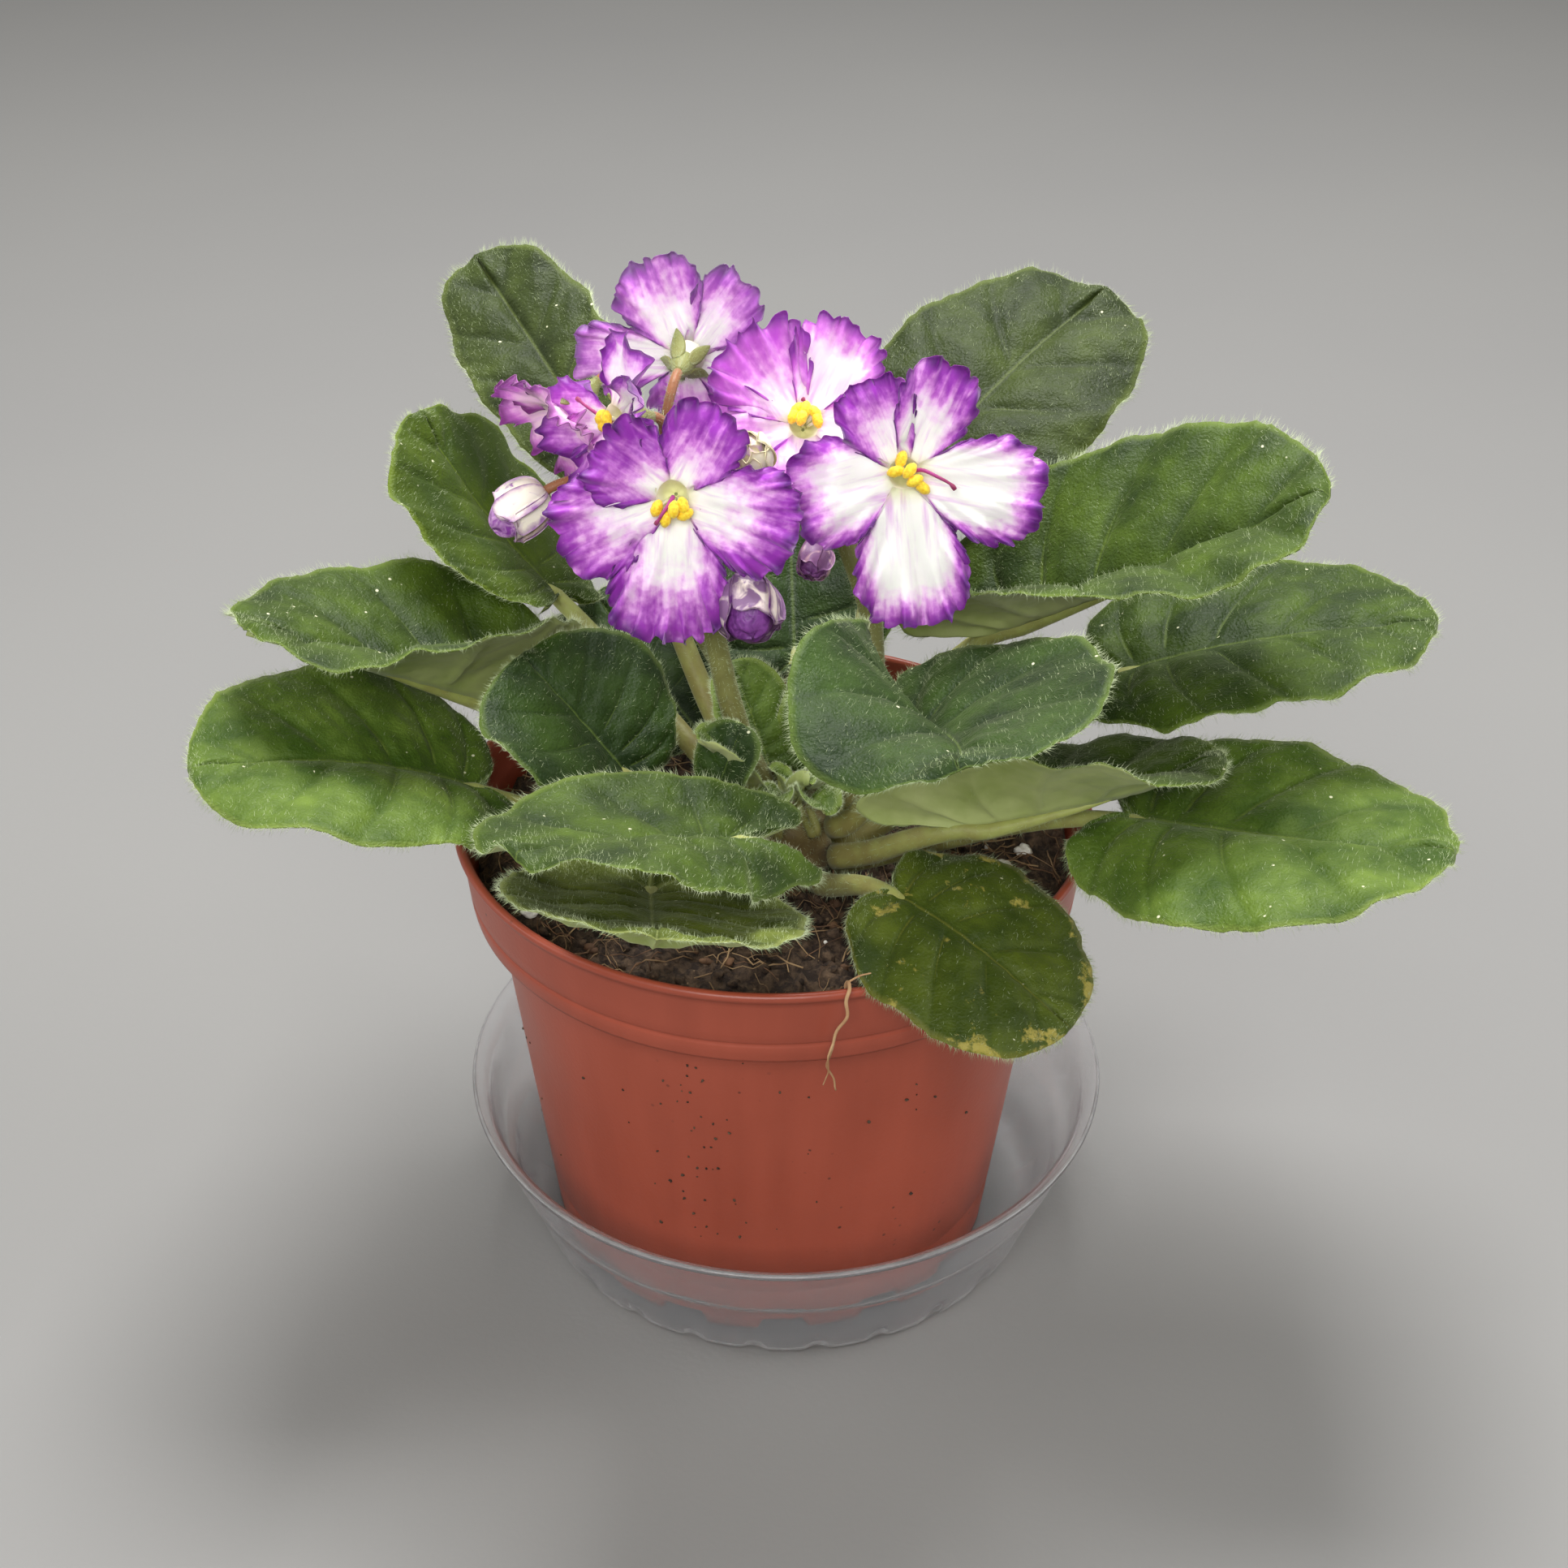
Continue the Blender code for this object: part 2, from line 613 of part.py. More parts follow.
def build_pedicel(name, flower, start, parts, surface):
    """Pedicel that swells into the calyx behind the flower."""
    end = flower.back(THROAT_DEPTH + PETAL_THICK / 2 + GAP)
    low = flower.back(THROAT_DEPTH + CALYX_LENGTH)
    path = stalk_path(start, low, flower.axis, 5)
    path += [low + (end - low) * 0.35, end]
    radii = [PEDICEL_R] * 6 + [PEDICEL_R + 0.1, 1.9, 2.2]
    return tube(name, path, radii, surface, parts)


def build_bud(name, start, centre, facing, radius, stretch, parts, surface):
    """Closed bud on its short pedicel."""
    reach = radius * stretch
    path = stalk_path(start, centre - facing * (reach + 1.0), facing, 5)
    radii = [PEDICEL_R] * 5 + [PEDICEL_R - 0.1] * 2
    for along, wide in ((-0.92, 0.45), (-0.6, 0.8), (0.0, 1.0), (0.55, 0.84), (0.88, 0.5), (1.0, 0.15)):
        path.append(centre + facing * reach * along)
        radii.append(radius * wide)
    return tube(name, path, radii, surface, parts, sides=2)


def build_flowers(parts):
    stalk = material("peduncle_tissue", PALE_STEM, 0.55)
    red_stalk = material("pedicel_tissue", (0.30, 0.16, 0.08), 0.55)
    tube("peduncle_left", PEDUNCLE_LEFT, [2.3, 2.3, 2.2, 2.0, 1.9, 1.8, 2.3], stalk, parts)
    tube("peduncle_right", PEDUNCLE_RIGHT, [2.4, 2.4, 2.4, 2.3, 2.1, 2.0, 1.8, 2.3], stalk, parts)
    tube("peduncle_back", PEDUNCLE_BACK, [2.0, 2.0, 1.9, 1.8, 1.7, 1.7, 2.3], stalk, parts)
    for flower in FLOWERS:
        build_corolla(flower, parts)
        peduncle, bearing = PEDICEL_STARTS[flower.name]
        build_pedicel("pedicel_" + flower.name, flower, stalk_foot(peduncle, bearing), parts, red_stalk)
        if flower.name in ("front_right", "front_left", "middle_back", "behind_left"):
            build_anthers(flower, parts)
    for name, peduncle, bearing, centre, heading, rise, radius, stretch in BUDS:
        build_bud(name, stalk_foot(peduncle, bearing), Vector(centre), heading_vector(heading, rise),
                  radius, stretch, parts, material(name + "_skin", CREAM, 0.6))


PEDICEL_STARTS = {
    "front_right": (PEDUNCLE_RIGHT, -50),
    "middle_back": (PEDUNCLE_RIGHT, 90),
    "front_left": (PEDUNCLE_LEFT, 200),
    "top_back": (PEDUNCLE_BACK, 60),
    "behind_left": (PEDUNCLE_BACK, -60),
    "fading_left": (PEDUNCLE_BACK, 140),
}

# name, peduncle, bearing on its top, centre of the bud, heading, rise, radius, stretch
BUDS = [
    ("bud_round", PEDUNCLE_LEFT, -60, (-6.1, -17, 146), -80, -40, 5.3, 1.12),
    ("bud_cream", PEDUNCLE_LEFT, 60, (-4.4, 2, 166), -90, 60, 3.0, 1.35),
    ("bud_small", PEDUNCLE_RIGHT, 200, (7, -2, 147.6), -100, -20, 3.1, 1.1),
    ("bud_half_open", PEDUNCLE_BACK, 220, (-45.4, 5, 153.6), 200, -30, 4.6, 1.3),
]


# ---------------------------------------------------------------- small trim

def build_root(parts):
    """Dry root lying over the front of the rim."""
    front = -RIM_R - 0.9
    points = [(12.6, -54.5, 90.5), (12.8, -57.0, 96.9), (13.0, front + 1.0, 97.2), (12.2, front - 0.1, 92),
              (10.2, front + 0.2, 86.5), (9.4, front + 1.2, 80.5), (11.2, front + 2.0, 74.5)]
    dry = material("root_dry", (0.55, 0.38, 0.24), 0.8)
    tube("hanging_root", points, [0.5, 0.5, 0.45, 0.4, 0.4, 0.35, 0.25], dry, parts, sides=1)


GRAINS = [(42, -14, 2.0), (45, -22, 1.5), (47, -6, 1.7), (-44, -26, 1.6), (8, -52, 1.4)]


def build_grains(parts):
    """Perlite grains lying on the soil: x, y and radius of each in GRAINS."""
    for i, (x, y, radius) in enumerate(GRAINS):
        bpy.ops.mesh.primitive_ico_sphere_add(subdivisions=1, radius=MM * radius)
        grain = bpy.context.object
        grain.name = "perlite_%d" % (i + 1)
        grain.data.materials.append(material(grain.name, (0.62, 0.60, 0.56), 0.9))
        grain.location = (MM * x, MM * y, MM * (soil_height(x, y) + radius + GAP))
        grain.rotation_euler = (0.4 * i, 0.7 * i, 0.9 * i)
        for holder in list(grain.users_collection):
            holder.objects.unlink(grain)
        parts.objects.link(grain)


def main():
    clear_scene()
    parts = make_collection("potted_african_violet")
    tools = make_collection("tools")
    build_pot(parts, tools)
    build_saucer(parts)
    build_soil(parts)
    build_crown(parts)
    for leaf in LEAVES:
        build_leaf(leaf, material(leaf.name + "_tissue", GREEN, 0.6), parts, tools)
    build_flowers(parts)
    build_root(parts)
    build_grains(parts)


main()
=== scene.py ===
"""Looks of the potted African violet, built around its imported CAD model.

Tables and shapes are in millimetres, and each mesh is scaled to metres as it is made. They follow the
values of the CAD part, with these main differences. Blades, petals and the saucer's wall are thinner. One
leaf is 2 mm longer, and two have their margins moved by up to 2.6 mm. Petals differ in length by up to
8 mm. Five flowers stand 1 to 9 mm off their solids, and two buds 1 to 2 mm, one of them larger.
"""
import math
from dataclasses import dataclass

import bpy
import numpy as np
from mathutils import Matrix, Vector


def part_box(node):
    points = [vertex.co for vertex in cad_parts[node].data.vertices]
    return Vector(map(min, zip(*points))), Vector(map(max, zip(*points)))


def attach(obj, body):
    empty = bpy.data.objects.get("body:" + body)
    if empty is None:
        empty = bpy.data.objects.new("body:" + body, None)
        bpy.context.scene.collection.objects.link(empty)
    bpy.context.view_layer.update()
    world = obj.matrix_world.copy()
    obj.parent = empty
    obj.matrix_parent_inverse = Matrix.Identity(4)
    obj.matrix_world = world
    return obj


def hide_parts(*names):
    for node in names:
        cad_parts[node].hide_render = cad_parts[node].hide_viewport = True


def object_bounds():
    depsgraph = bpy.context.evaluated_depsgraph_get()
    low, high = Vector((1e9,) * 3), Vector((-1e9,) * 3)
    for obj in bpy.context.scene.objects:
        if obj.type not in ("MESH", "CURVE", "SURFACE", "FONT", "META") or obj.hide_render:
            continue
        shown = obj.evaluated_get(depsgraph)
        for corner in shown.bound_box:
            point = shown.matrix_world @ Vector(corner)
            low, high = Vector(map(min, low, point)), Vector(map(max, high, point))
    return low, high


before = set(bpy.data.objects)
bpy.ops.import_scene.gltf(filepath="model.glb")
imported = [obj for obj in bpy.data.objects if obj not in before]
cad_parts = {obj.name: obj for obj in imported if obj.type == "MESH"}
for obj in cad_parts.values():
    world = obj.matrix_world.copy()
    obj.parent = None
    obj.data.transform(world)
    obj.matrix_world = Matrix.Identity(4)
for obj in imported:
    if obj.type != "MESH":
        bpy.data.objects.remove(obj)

CAD_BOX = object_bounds()
MM = 0.001
SEED = 41

# ---------------------------------------------------------------- sizes shared with the CAD part

POT_LOW, POT_HIGH = (np.array(corner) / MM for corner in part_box("pot"))
SAUCER_LOW, SAUCER_HIGH = (np.array(corner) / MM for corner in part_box("saucer"))
FOOT_Z = POT_LOW[2]
RIM_Z = POT_HIGH[2]
RIM_R = (POT_HIGH[0] - POT_LOW[0]) / 2
SAUCER_R = (SAUCER_HIGH[0] - SAUCER_LOW[0]) / 2
SAUCER_X, SAUCER_Y = (SAUCER_LOW[:2] + SAUCER_HIGH[:2]) / 2
SAUCER_Z = SAUCER_HIGH[2]
FOOT_R = 44.0
COLLAR_Z = 79.0
COLLAR_R = 57.4
BODY_TOP_R = 53.2
POT_WALL = 1.4
FOOT_RING = 3.0
FOOT_HEIGHT = 4.5
NOTCHES = 14
NOTCH_ANGLE = 12.5
NOTCH_START = 3.0
SOIL_Z = 87.0
CROWN = np.array((3.0, -12.0, SOIL_Z))
CROWN_R = 8.0
CROWN_TOP = 104.3
PETIOLE_R = 2.3
TIER_Z = SOIL_Z + 3.5
TIER_STEP = 3.6
BASE_SPREAD = 0.12
THROAT_DEPTH = 3.0
GAP = 0.3


# ---------------------------------------------------------------- small geometry

def unit(vectors):
    vectors = np.asarray(vectors, float)
    return vectors / np.maximum(np.linalg.norm(vectors, axis=-1, keepdims=True), 1e-9)


def ripple(seed, pitch, points, waves=6):
    """Smooth seeded noise of about -1 to 1 over points, with its bumps about a pitch apart."""
    rng = np.random.default_rng(seed)
    points = np.asarray(points, float)
    total = np.zeros(points.shape[:-1])
    for _ in range(waves):
        heading = unit(rng.normal(size=points.shape[-1]))
        phase = rng.uniform(0, 2 * math.pi)
        total += np.sin(points @ heading * (2 * math.pi / (pitch * rng.uniform(0.7, 1.5))) + phase)
    return total / math.sqrt(waves)


def smoothstep(low, high, value):
    t = np.clip((value - low) / (high - low), 0.0, 1.0)
    return t * t * (3 - 2 * t)


def heading_vector(heading, rise):
    h = np.radians(heading)
    e = np.radians(rise)
    return np.stack([np.cos(e) * np.cos(h), np.cos(e) * np.sin(h), np.sin(e) + 0 * h], axis=-1)


def bezier(start, pull_a, pull_b, end, count):
    t = np.linspace(0, 1, count + 1)[:, None]
    u = 1 - t
    return start * u ** 3 + pull_a * 3 * u * u * t + pull_b * 3 * u * t * t + end * t ** 3


def evenly(points, count):
    """The polyline resampled to count + 1 points at equal steps of its length."""
    length = np.r_[0, np.cumsum(np.linalg.norm(np.diff(points, axis=0), axis=1))]
    at = np.linspace(0, length[-1], count + 1)
    return np.stack([np.interp(at, length, column) for column in points.T], axis=1)


def rounded(points, passes):
    """The polyline with its corners worn off and its ends kept."""
    points = points.copy()
    for _ in range(passes):
        points[1:-1] = (points[:-2] + 2 * points[1:-1] + points[2:]) / 4
    return points


def turned(away, around, height, x=0.0, y=0.0):
    """Points at a distance and bearing from an upright axis, at a height."""
    columns = (x + away * np.cos(around), y + away * np.sin(around), height)
    return np.stack(np.broadcast_arrays(*columns), axis=-1)


def round_ball(columns, rows):
    """Points of a ball of radius 1, all but closed at its poles."""
    u = np.linspace(0, 2 * math.pi, columns, endpoint=False)[None, :]
    v = np.linspace(0.02, math.pi - 0.02, rows)[:, None]
    return np.stack([np.sin(v) * np.cos(u), np.sin(v) * np.sin(u), np.cos(v) + 0 * u], axis=-1)


def new_object(name, data):
    made = bpy.data.objects.new(name, data)
    bpy.context.scene.collection.objects.link(made)
    return made


def grid_normals(points):
    along = np.gradient(points, axis=0)
    across = np.gradient(points, axis=1)
    return unit(np.cross(along, across))


class Tissue:
    """Collects grids, tubes and hairs, and makes them one mesh piece."""

    def __init__(self, *surfaces):
        self.surfaces = surfaces
        self.points = []
        self.quads = []
        self.tris = []
        self.quad_surface = []
        self.tri_surface = []
        self.values = []
        self.count = 0

    def add_points(self, points, values):
        points = np.asarray(points, float).reshape(-1, 3)
        filled = {key: np.broadcast_to(value, (len(points),)) for key, value in values.items()}
        self.points.append(points)
        self.values.append((self.count, len(points), filled))
        start = self.count
        self.count += len(points)
        return start

    def grid(self, points, surface=0, wrap=False, flip=False, **values):
        """Sheet of quads over an array of rows of points. wrap joins the last column to the first."""
        rows, columns = points.shape[:2]
        values = {key: np.broadcast_to(value, (rows, columns)).ravel() for key, value in values.items()}
        start = self.add_points(points, values)
        index = start + np.arange(rows * columns).reshape(rows, columns)
        if wrap:
            index = np.concatenate([index, index[:, :1]], axis=1)
        faces = np.stack([index[:-1, :-1], index[1:, :-1], index[1:, 1:], index[:-1, 1:]], axis=-1)
        faces = faces.reshape(-1, 4)
        if flip:
            faces = faces[:, ::-1]
        self.quads.append(faces)
        self.quad_surface.append(np.full(len(faces), surface))
        return index

    def band(self, upper, lower, surface=0):
        """Strip of quads between two lines of point numbers."""
        faces = np.stack([upper[:-1], upper[1:], lower[1:], lower[:-1]], axis=-1)
        self.quads.append(faces)
        self.quad_surface.append(np.full(len(faces), surface))

    def tube(self, path, radii, sides=10, surface=0, **values):
        """Round stem along a path, closed to a point at both ends."""
        path = np.asarray(path, float)
        ahead = unit(np.gradient(path, axis=0))
        level = np.array((0.0, 0.0, 1.0)) if abs(ahead[0][2]) < 0.9 else np.array((1.0, 0.0, 0.0))
        side = unit(np.cross(ahead, level))
        for i in range(1, len(side)):
            side[i] = unit(side[i - 1] - ahead[i] * (side[i - 1] @ ahead[i]))
        up = np.cross(ahead, side)
        angle = np.linspace(0, 2 * math.pi, sides, endpoint=False)
        ring = np.cos(angle)[None, :, None] * side[:, None] + np.sin(angle)[None, :, None] * up[:, None]
        radii = np.broadcast_to(radii, (len(path),))
        walls = path[:, None] + ring * radii[:, None, None]
        ends = np.repeat(path[[0, -1]][:, None], sides, axis=1)
        along = np.linspace(0, 1, len(path))[:, None]
        self.grid(np.concatenate([ends[:1], walls, ends[1:]]), surface, wrap=True,
                  along=np.concatenate([[[0.0]], along, [[1.0]]]), **values)
        return walls, ring

    def hairs(self, roots, directions, lengths, surface, width=0.035, bend=0.25, seed=1):
        """Three-sided hairs, each leaning a little off its direction.

        Real down is finer and denser: the hairs are drawn thicker and fewer to keep the triangles down.
        """
        rng = np.random.default_rng(seed)
        roots = np.asarray(roots, float)
        count = len(roots)
        directions = unit(directions + rng.normal(scale=bend, size=(count, 3)))
        side = unit(np.cross(directions, rng.normal(size=(count, 3))))
        other = np.cross(directions, side)
        corners = [roots - directions * 0.05 + (side * math.cos(turn) + other * math.sin(turn)) * width
                   for turn in (0.0, 2.094, 4.189)]
        tips = roots + directions * np.asarray(lengths)[:, None]
        start = self.add_points(np.stack(corners + [tips], axis=1), {})
        base = start + 4 * np.arange(count)[:, None]
        faces = np.concatenate([base + np.array(corner) for corner in ((0, 1, 3), (1, 2, 3), (2, 0, 3))])
        self.tris.append(faces)
        self.tri_surface.append(np.full(len(faces), surface))

    def piece(self, name, nodes, merge=0.0):
        """The mesh object, riding on the frame in place of its CAD nodes."""
        mesh = bpy.data.meshes.new(name)
        points = np.concatenate(self.points) * MM
        quads = np.concatenate(self.quads) if self.quads else np.zeros((0, 4), int)
        tris = np.concatenate(self.tris) if self.tris else np.zeros((0, 3), int)
        mesh.vertices.add(len(points))
        mesh.vertices.foreach_set("co", points.ravel())
        mesh.loops.add(quads.size + tris.size)
        mesh.loops.foreach_set("vertex_index", np.concatenate([quads.ravel(), tris.ravel()]))
        mesh.polygons.add(len(quads) + len(tris))
        starts = np.concatenate([4 * np.arange(len(quads)), quads.size + 3 * np.arange(len(tris))])
        mesh.polygons.foreach_set("loop_start", starts)
        surfaces = np.concatenate(self.quad_surface + self.tri_surface)
        mesh.polygons.foreach_set("material_index", surfaces)
        mesh.polygons.foreach_set("use_smooth", np.ones(len(starts), bool))
        for key in sorted({key for _, _, filled in self.values for key in filled}):
            data = np.zeros(len(points))
            for start, count, filled in self.values:
                if key in filled:
                    data[start:start + count] = filled[key]
            layer = mesh.attributes.new(key, "FLOAT", "POINT")
            layer.data.foreach_set("value", data)
        mesh.update()
        mesh.validate()
        for surface in self.surfaces:
            mesh.materials.append(surface)
        made = new_object(name, mesh)
        if merge:
            weld = made.modifiers.new("Joined points", "WELD")
            weld.merge_threshold = merge * MM
        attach(made, "root")
        if nodes:
            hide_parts(*nodes)
        return made


# ---------------------------------------------------------------- materials

def linear(colour):
    """Linear RGBA of an sRGB hex colour."""
    channels = [int(colour[i:i + 2], 16) / 255 for i in (1, 3, 5)]
    return (*(c / 12.92 if c <= 0.04045 else ((c + 0.055) / 1.055) ** 2.4 for c in channels), 1.0)


def per_metre(size):
    """Texture scale whose pattern repeats about every size millimetres."""
    return 1 / (size * MM)


def add(tree, kind, inputs=None, out=0, **settings):
    """Adds a node with its settings, sets or links its inputs, and gives back one of its outputs.

    Inputs 1 to 4 of a Map Range are the span that it reads and the two values that it gives there.
    """
    made = tree.nodes.new("ShaderNode" + kind)
    for key, value in settings.items():
        setattr(made, key, value)
    for key, value in (inputs or {}).items():
        if isinstance(value, bpy.types.NodeSocket):
            tree.links.new(value, made.inputs[key])
        else:
            made.inputs[key].default_value = value
    return made.outputs[out]


# sockets of a Mix node set to colours, and what sets it so
FACTOR, UNDER, OVER = 0, 6, 7
COLOURS = {"out": 2, "data_type": "RGBA"}


def surface(name, reads=(), **values):
    """A material with a Principled shader: the material, its tree, a place in metres and the mesh values."""
    made = bpy.data.materials.new(name)
    made.use_nodes = True
    tree = made.node_tree
    shader = tree.nodes["Principled BSDF"]
    for key, value in values.items():
        shader.inputs[key.replace("_", " ")].default_value = value
    read = [add(tree, "Attribute", out="Fac", attribute_name=value) for value in reads]
    return made, tree, add(tree, "TexCoord", out="Object"), *read


def finish_surface(made, under, coats, height, depth, **linked):
    """Lays coats over an under colour, bumps the skin by depth millimetres and gives back the material.

    Each coat is a value, the span over which it takes hold and a tone. The span is from, to, and the
    shares of the coat there if they aren't 0 and 1. Without a span the value is the share.
    """
    tree = made.node_tree
    for value, span, tone in coats:
        if span:
            value = add(tree, "MapRange", {"Value": value, **dict(enumerate(span, 1))})
        under = add(tree, "Mix", {FACTOR: value, UNDER: under, OVER: linear(tone)}, **COLOURS)
    bump = add(tree, "Bump", {"Height": height, "Distance": depth * MM})
    for key, value in {"Base Color": under, "Normal": bump, **linked}.items():
        tree.links.new(value, tree.nodes["Principled BSDF"].inputs[key])
    return made


def leaf_upper_skin(name, dark, light, edge, spots=False):
    """Living leaf, upper side: a waxy green skin under down, so soft sheen and no sharp gloss."""
    made, tree, place, vein, rim = surface(
        name, ("vein", "rim"), Roughness=0.53, IOR=1.4, Specular_IOR_Level=0.32, Sheen_Weight=0.14,
        Sheen_Roughness=0.4, Sheen_Tint=linear("#D6E2B4"))
    cloud = add(tree, "TexNoise", {"Vector": place, "Scale": per_metre(11), "Detail": 4.0})
    # cells of the network between the veins, about 2.4 mm across; the dark tone laid towards their edges is
    # painted shade of the quilting
    cells = add(tree, "TexVoronoi", {"Vector": place, "Scale": per_metre(2.4), "Randomness": 0.9},
                feature="SMOOTH_F1")
    cells = add(tree, "MapRange", {"Value": cells, 1: 0.1, 2: 0.75})
    shade = add(tree, "Math", {0: cells, 1: 0.34}, operation="MULTIPLY")
    # painted shade and light: the sunken veins are darkened as if shaded, over their paler own tone, and the
    # pale margin is partly its own tone and partly a painted rim of light from behind
    coats = [(cloud, (0.34, 0.68), light), (shade, (), dark), (vein, (0.15, 0.7, 0.0, 0.5), dark),
             (vein, (0.7, 1.0, 0.0, 0.3), edge), (rim, (0.0, 1.3, 0.4, 0.0), edge)]
    if spots:
        # an old leaf yellows in patches, most of all along its edge
        patch = add(tree, "TexNoise", {"Vector": place, "Scale": per_metre(6.5), "Detail": 5.0,
                                       "Roughness": 0.65})
        near = add(tree, "MapRange", {"Value": rim, 1: 0.0, 2: 9.0, 3: 0.09, 4: 0.0})
        patch = add(tree, "Math", {0: patch, 1: near}, operation="ADD")
        coats.append((patch, (0.63, 0.69, 0.0, 0.75), "#A89A4A"))
    # cream flecks of lime and dust, about half a millimetre across, a few on each leaf
    flecks = add(tree, "TexVoronoi", {"Vector": place, "Scale": per_metre(4.2), "Randomness": 1.0})
    flecks = add(tree, "MapRange", {"Value": flecks, 1: 0.05, 2: 0.085, 3: 0.9, 4: 0.0})
    rare = add(tree, "TexNoise", {"Vector": place, "Scale": per_metre(7), "Detail": 1.0})
    rare = add(tree, "Math", {0: rare, 1: 0.53}, operation="GREATER_THAN")
    coats.append((add(tree, "Math", {0: flecks, 1: rare}, operation="MULTIPLY"), (), "#DAD8B8"))
    pores = add(tree, "TexNoise", {"Vector": place, "Scale": per_metre(0.55), "Detail": 2.0})
    height = add(tree, "Math", {0: cells, 1: 0.55, 2: pores}, operation="MULTIPLY_ADD")
    return finish_surface(made, linear(dark), coats, height, 0.28)


def leaf_lower_skin(name, tone, vein_tone):
    """Living leaf, lower side: pale, downy, with raised paler veins, its tone lightened past its own as
    painted light shining through the blade.
    """
    made, tree, place, vein = surface(
        name, ("vein",), Roughness=0.58, IOR=1.4, Sheen_Weight=0.15, Sheen_Roughness=0.5,
        Sheen_Tint=linear("#EEF2DC"))
    cloud = add(tree, "TexNoise", {"Vector": place, "Scale": per_metre(9), "Detail": 4.0})
    cells = add(tree, "TexVoronoi", {"Vector": place, "Scale": per_metre(2.2)}, feature="SMOOTH_F1")
    vein = add(tree, "Math", {0: vein, 1: 0.5}, operation="MULTIPLY")
    coats = [(cloud, (0.3, 0.7), vein_tone), (cells, (0.2, 0.9, 0.0, 0.3), vein_tone), (vein, (), vein_tone)]
    return finish_surface(made, linear(tone), coats, cells, 0.2)


def down_surface():
    """The plant's down: clear single hairs, coloured pale silver-green to paint the light they catch against
    the green.
    """
    made, tree, place = surface("plant_down", Roughness=0.45, IOR=1.5)
    tone = add(tree, "TexNoise", {"Vector": place, "Scale": per_metre(14)})
    # painted shine: the clear hairs get a pale silver colour for the light they catch
    colour = add(tree, "Mix", {FACTOR: tone, UNDER: linear("#7F9458"), OVER: linear("#D3DAB6")}, **COLOURS)
    tree.links.new(colour, tree.nodes["Principled BSDF"].inputs["Base Color"])
    return made


def stem_surface(name, low, high):
    """Fleshy stem skin: matt, streaked along its length, its colour shifting towards the flower."""
    made, tree, place, along = surface(name, ("along",), Roughness=0.5, IOR=1.4, Sheen_Weight=0.2,
                                       Sheen_Roughness=0.5, Sheen_Tint=linear("#E8EAD2"))
    streak = add(tree, "TexNoise", {"Vector": place, "Scale": per_metre(3.5), "Detail": 4.0})
    streak = add(tree, "MapRange", {"Value": streak, 1: 0.3, 2: 0.7, 3: -0.3, 4: 0.3})
    share = add(tree, "Math", {0: along, 1: streak}, operation="ADD", use_clamp=True)
    grain = add(tree, "TexNoise", {"Vector": place, "Scale": per_metre(0.7), "Detail": 2.0})
    return finish_surface(made, linear(low), [(share, (), high)], grain, 0.12)


# ---------------------------------------------------------------- leaves

RIM_STEPS = 96  # points of the margin on each side of a leaf, from its petiole round to its tip
RIB_STEPS = 16  # points from the midrib out to the margin
VEIN_PAIRS = 6
BLADE_THICK = 0.9
TOOTH = 3.4  # length of one scallop of the margin
LINE_STEPS = 96  # steps along the midrib
MARGIN_ROUNDING = 22  # passes that wear the corners off the outline
TYPICAL_LEAF = 50  # mm, the leaf for which relief, scallops and counts of hairs are given
SMALL_LEAF = 25  # mm, a leaf under this gets every other row and column of the grid
# hairs on each half of the margin and on the petiole, and their lengths
FRINGE = (600, (0.9, 2.1))
PETIOLE_DOWN = (340, (0.7, 1.5))
# hairs on the upper and lower side
UPPER_NAP = (1400, (0.5, 1.1))
LOWER_NAP = (380, (0.4, 0.9))
UPPER, LOWER, HAIR, STALK = range(4)  # surfaces of a leaf


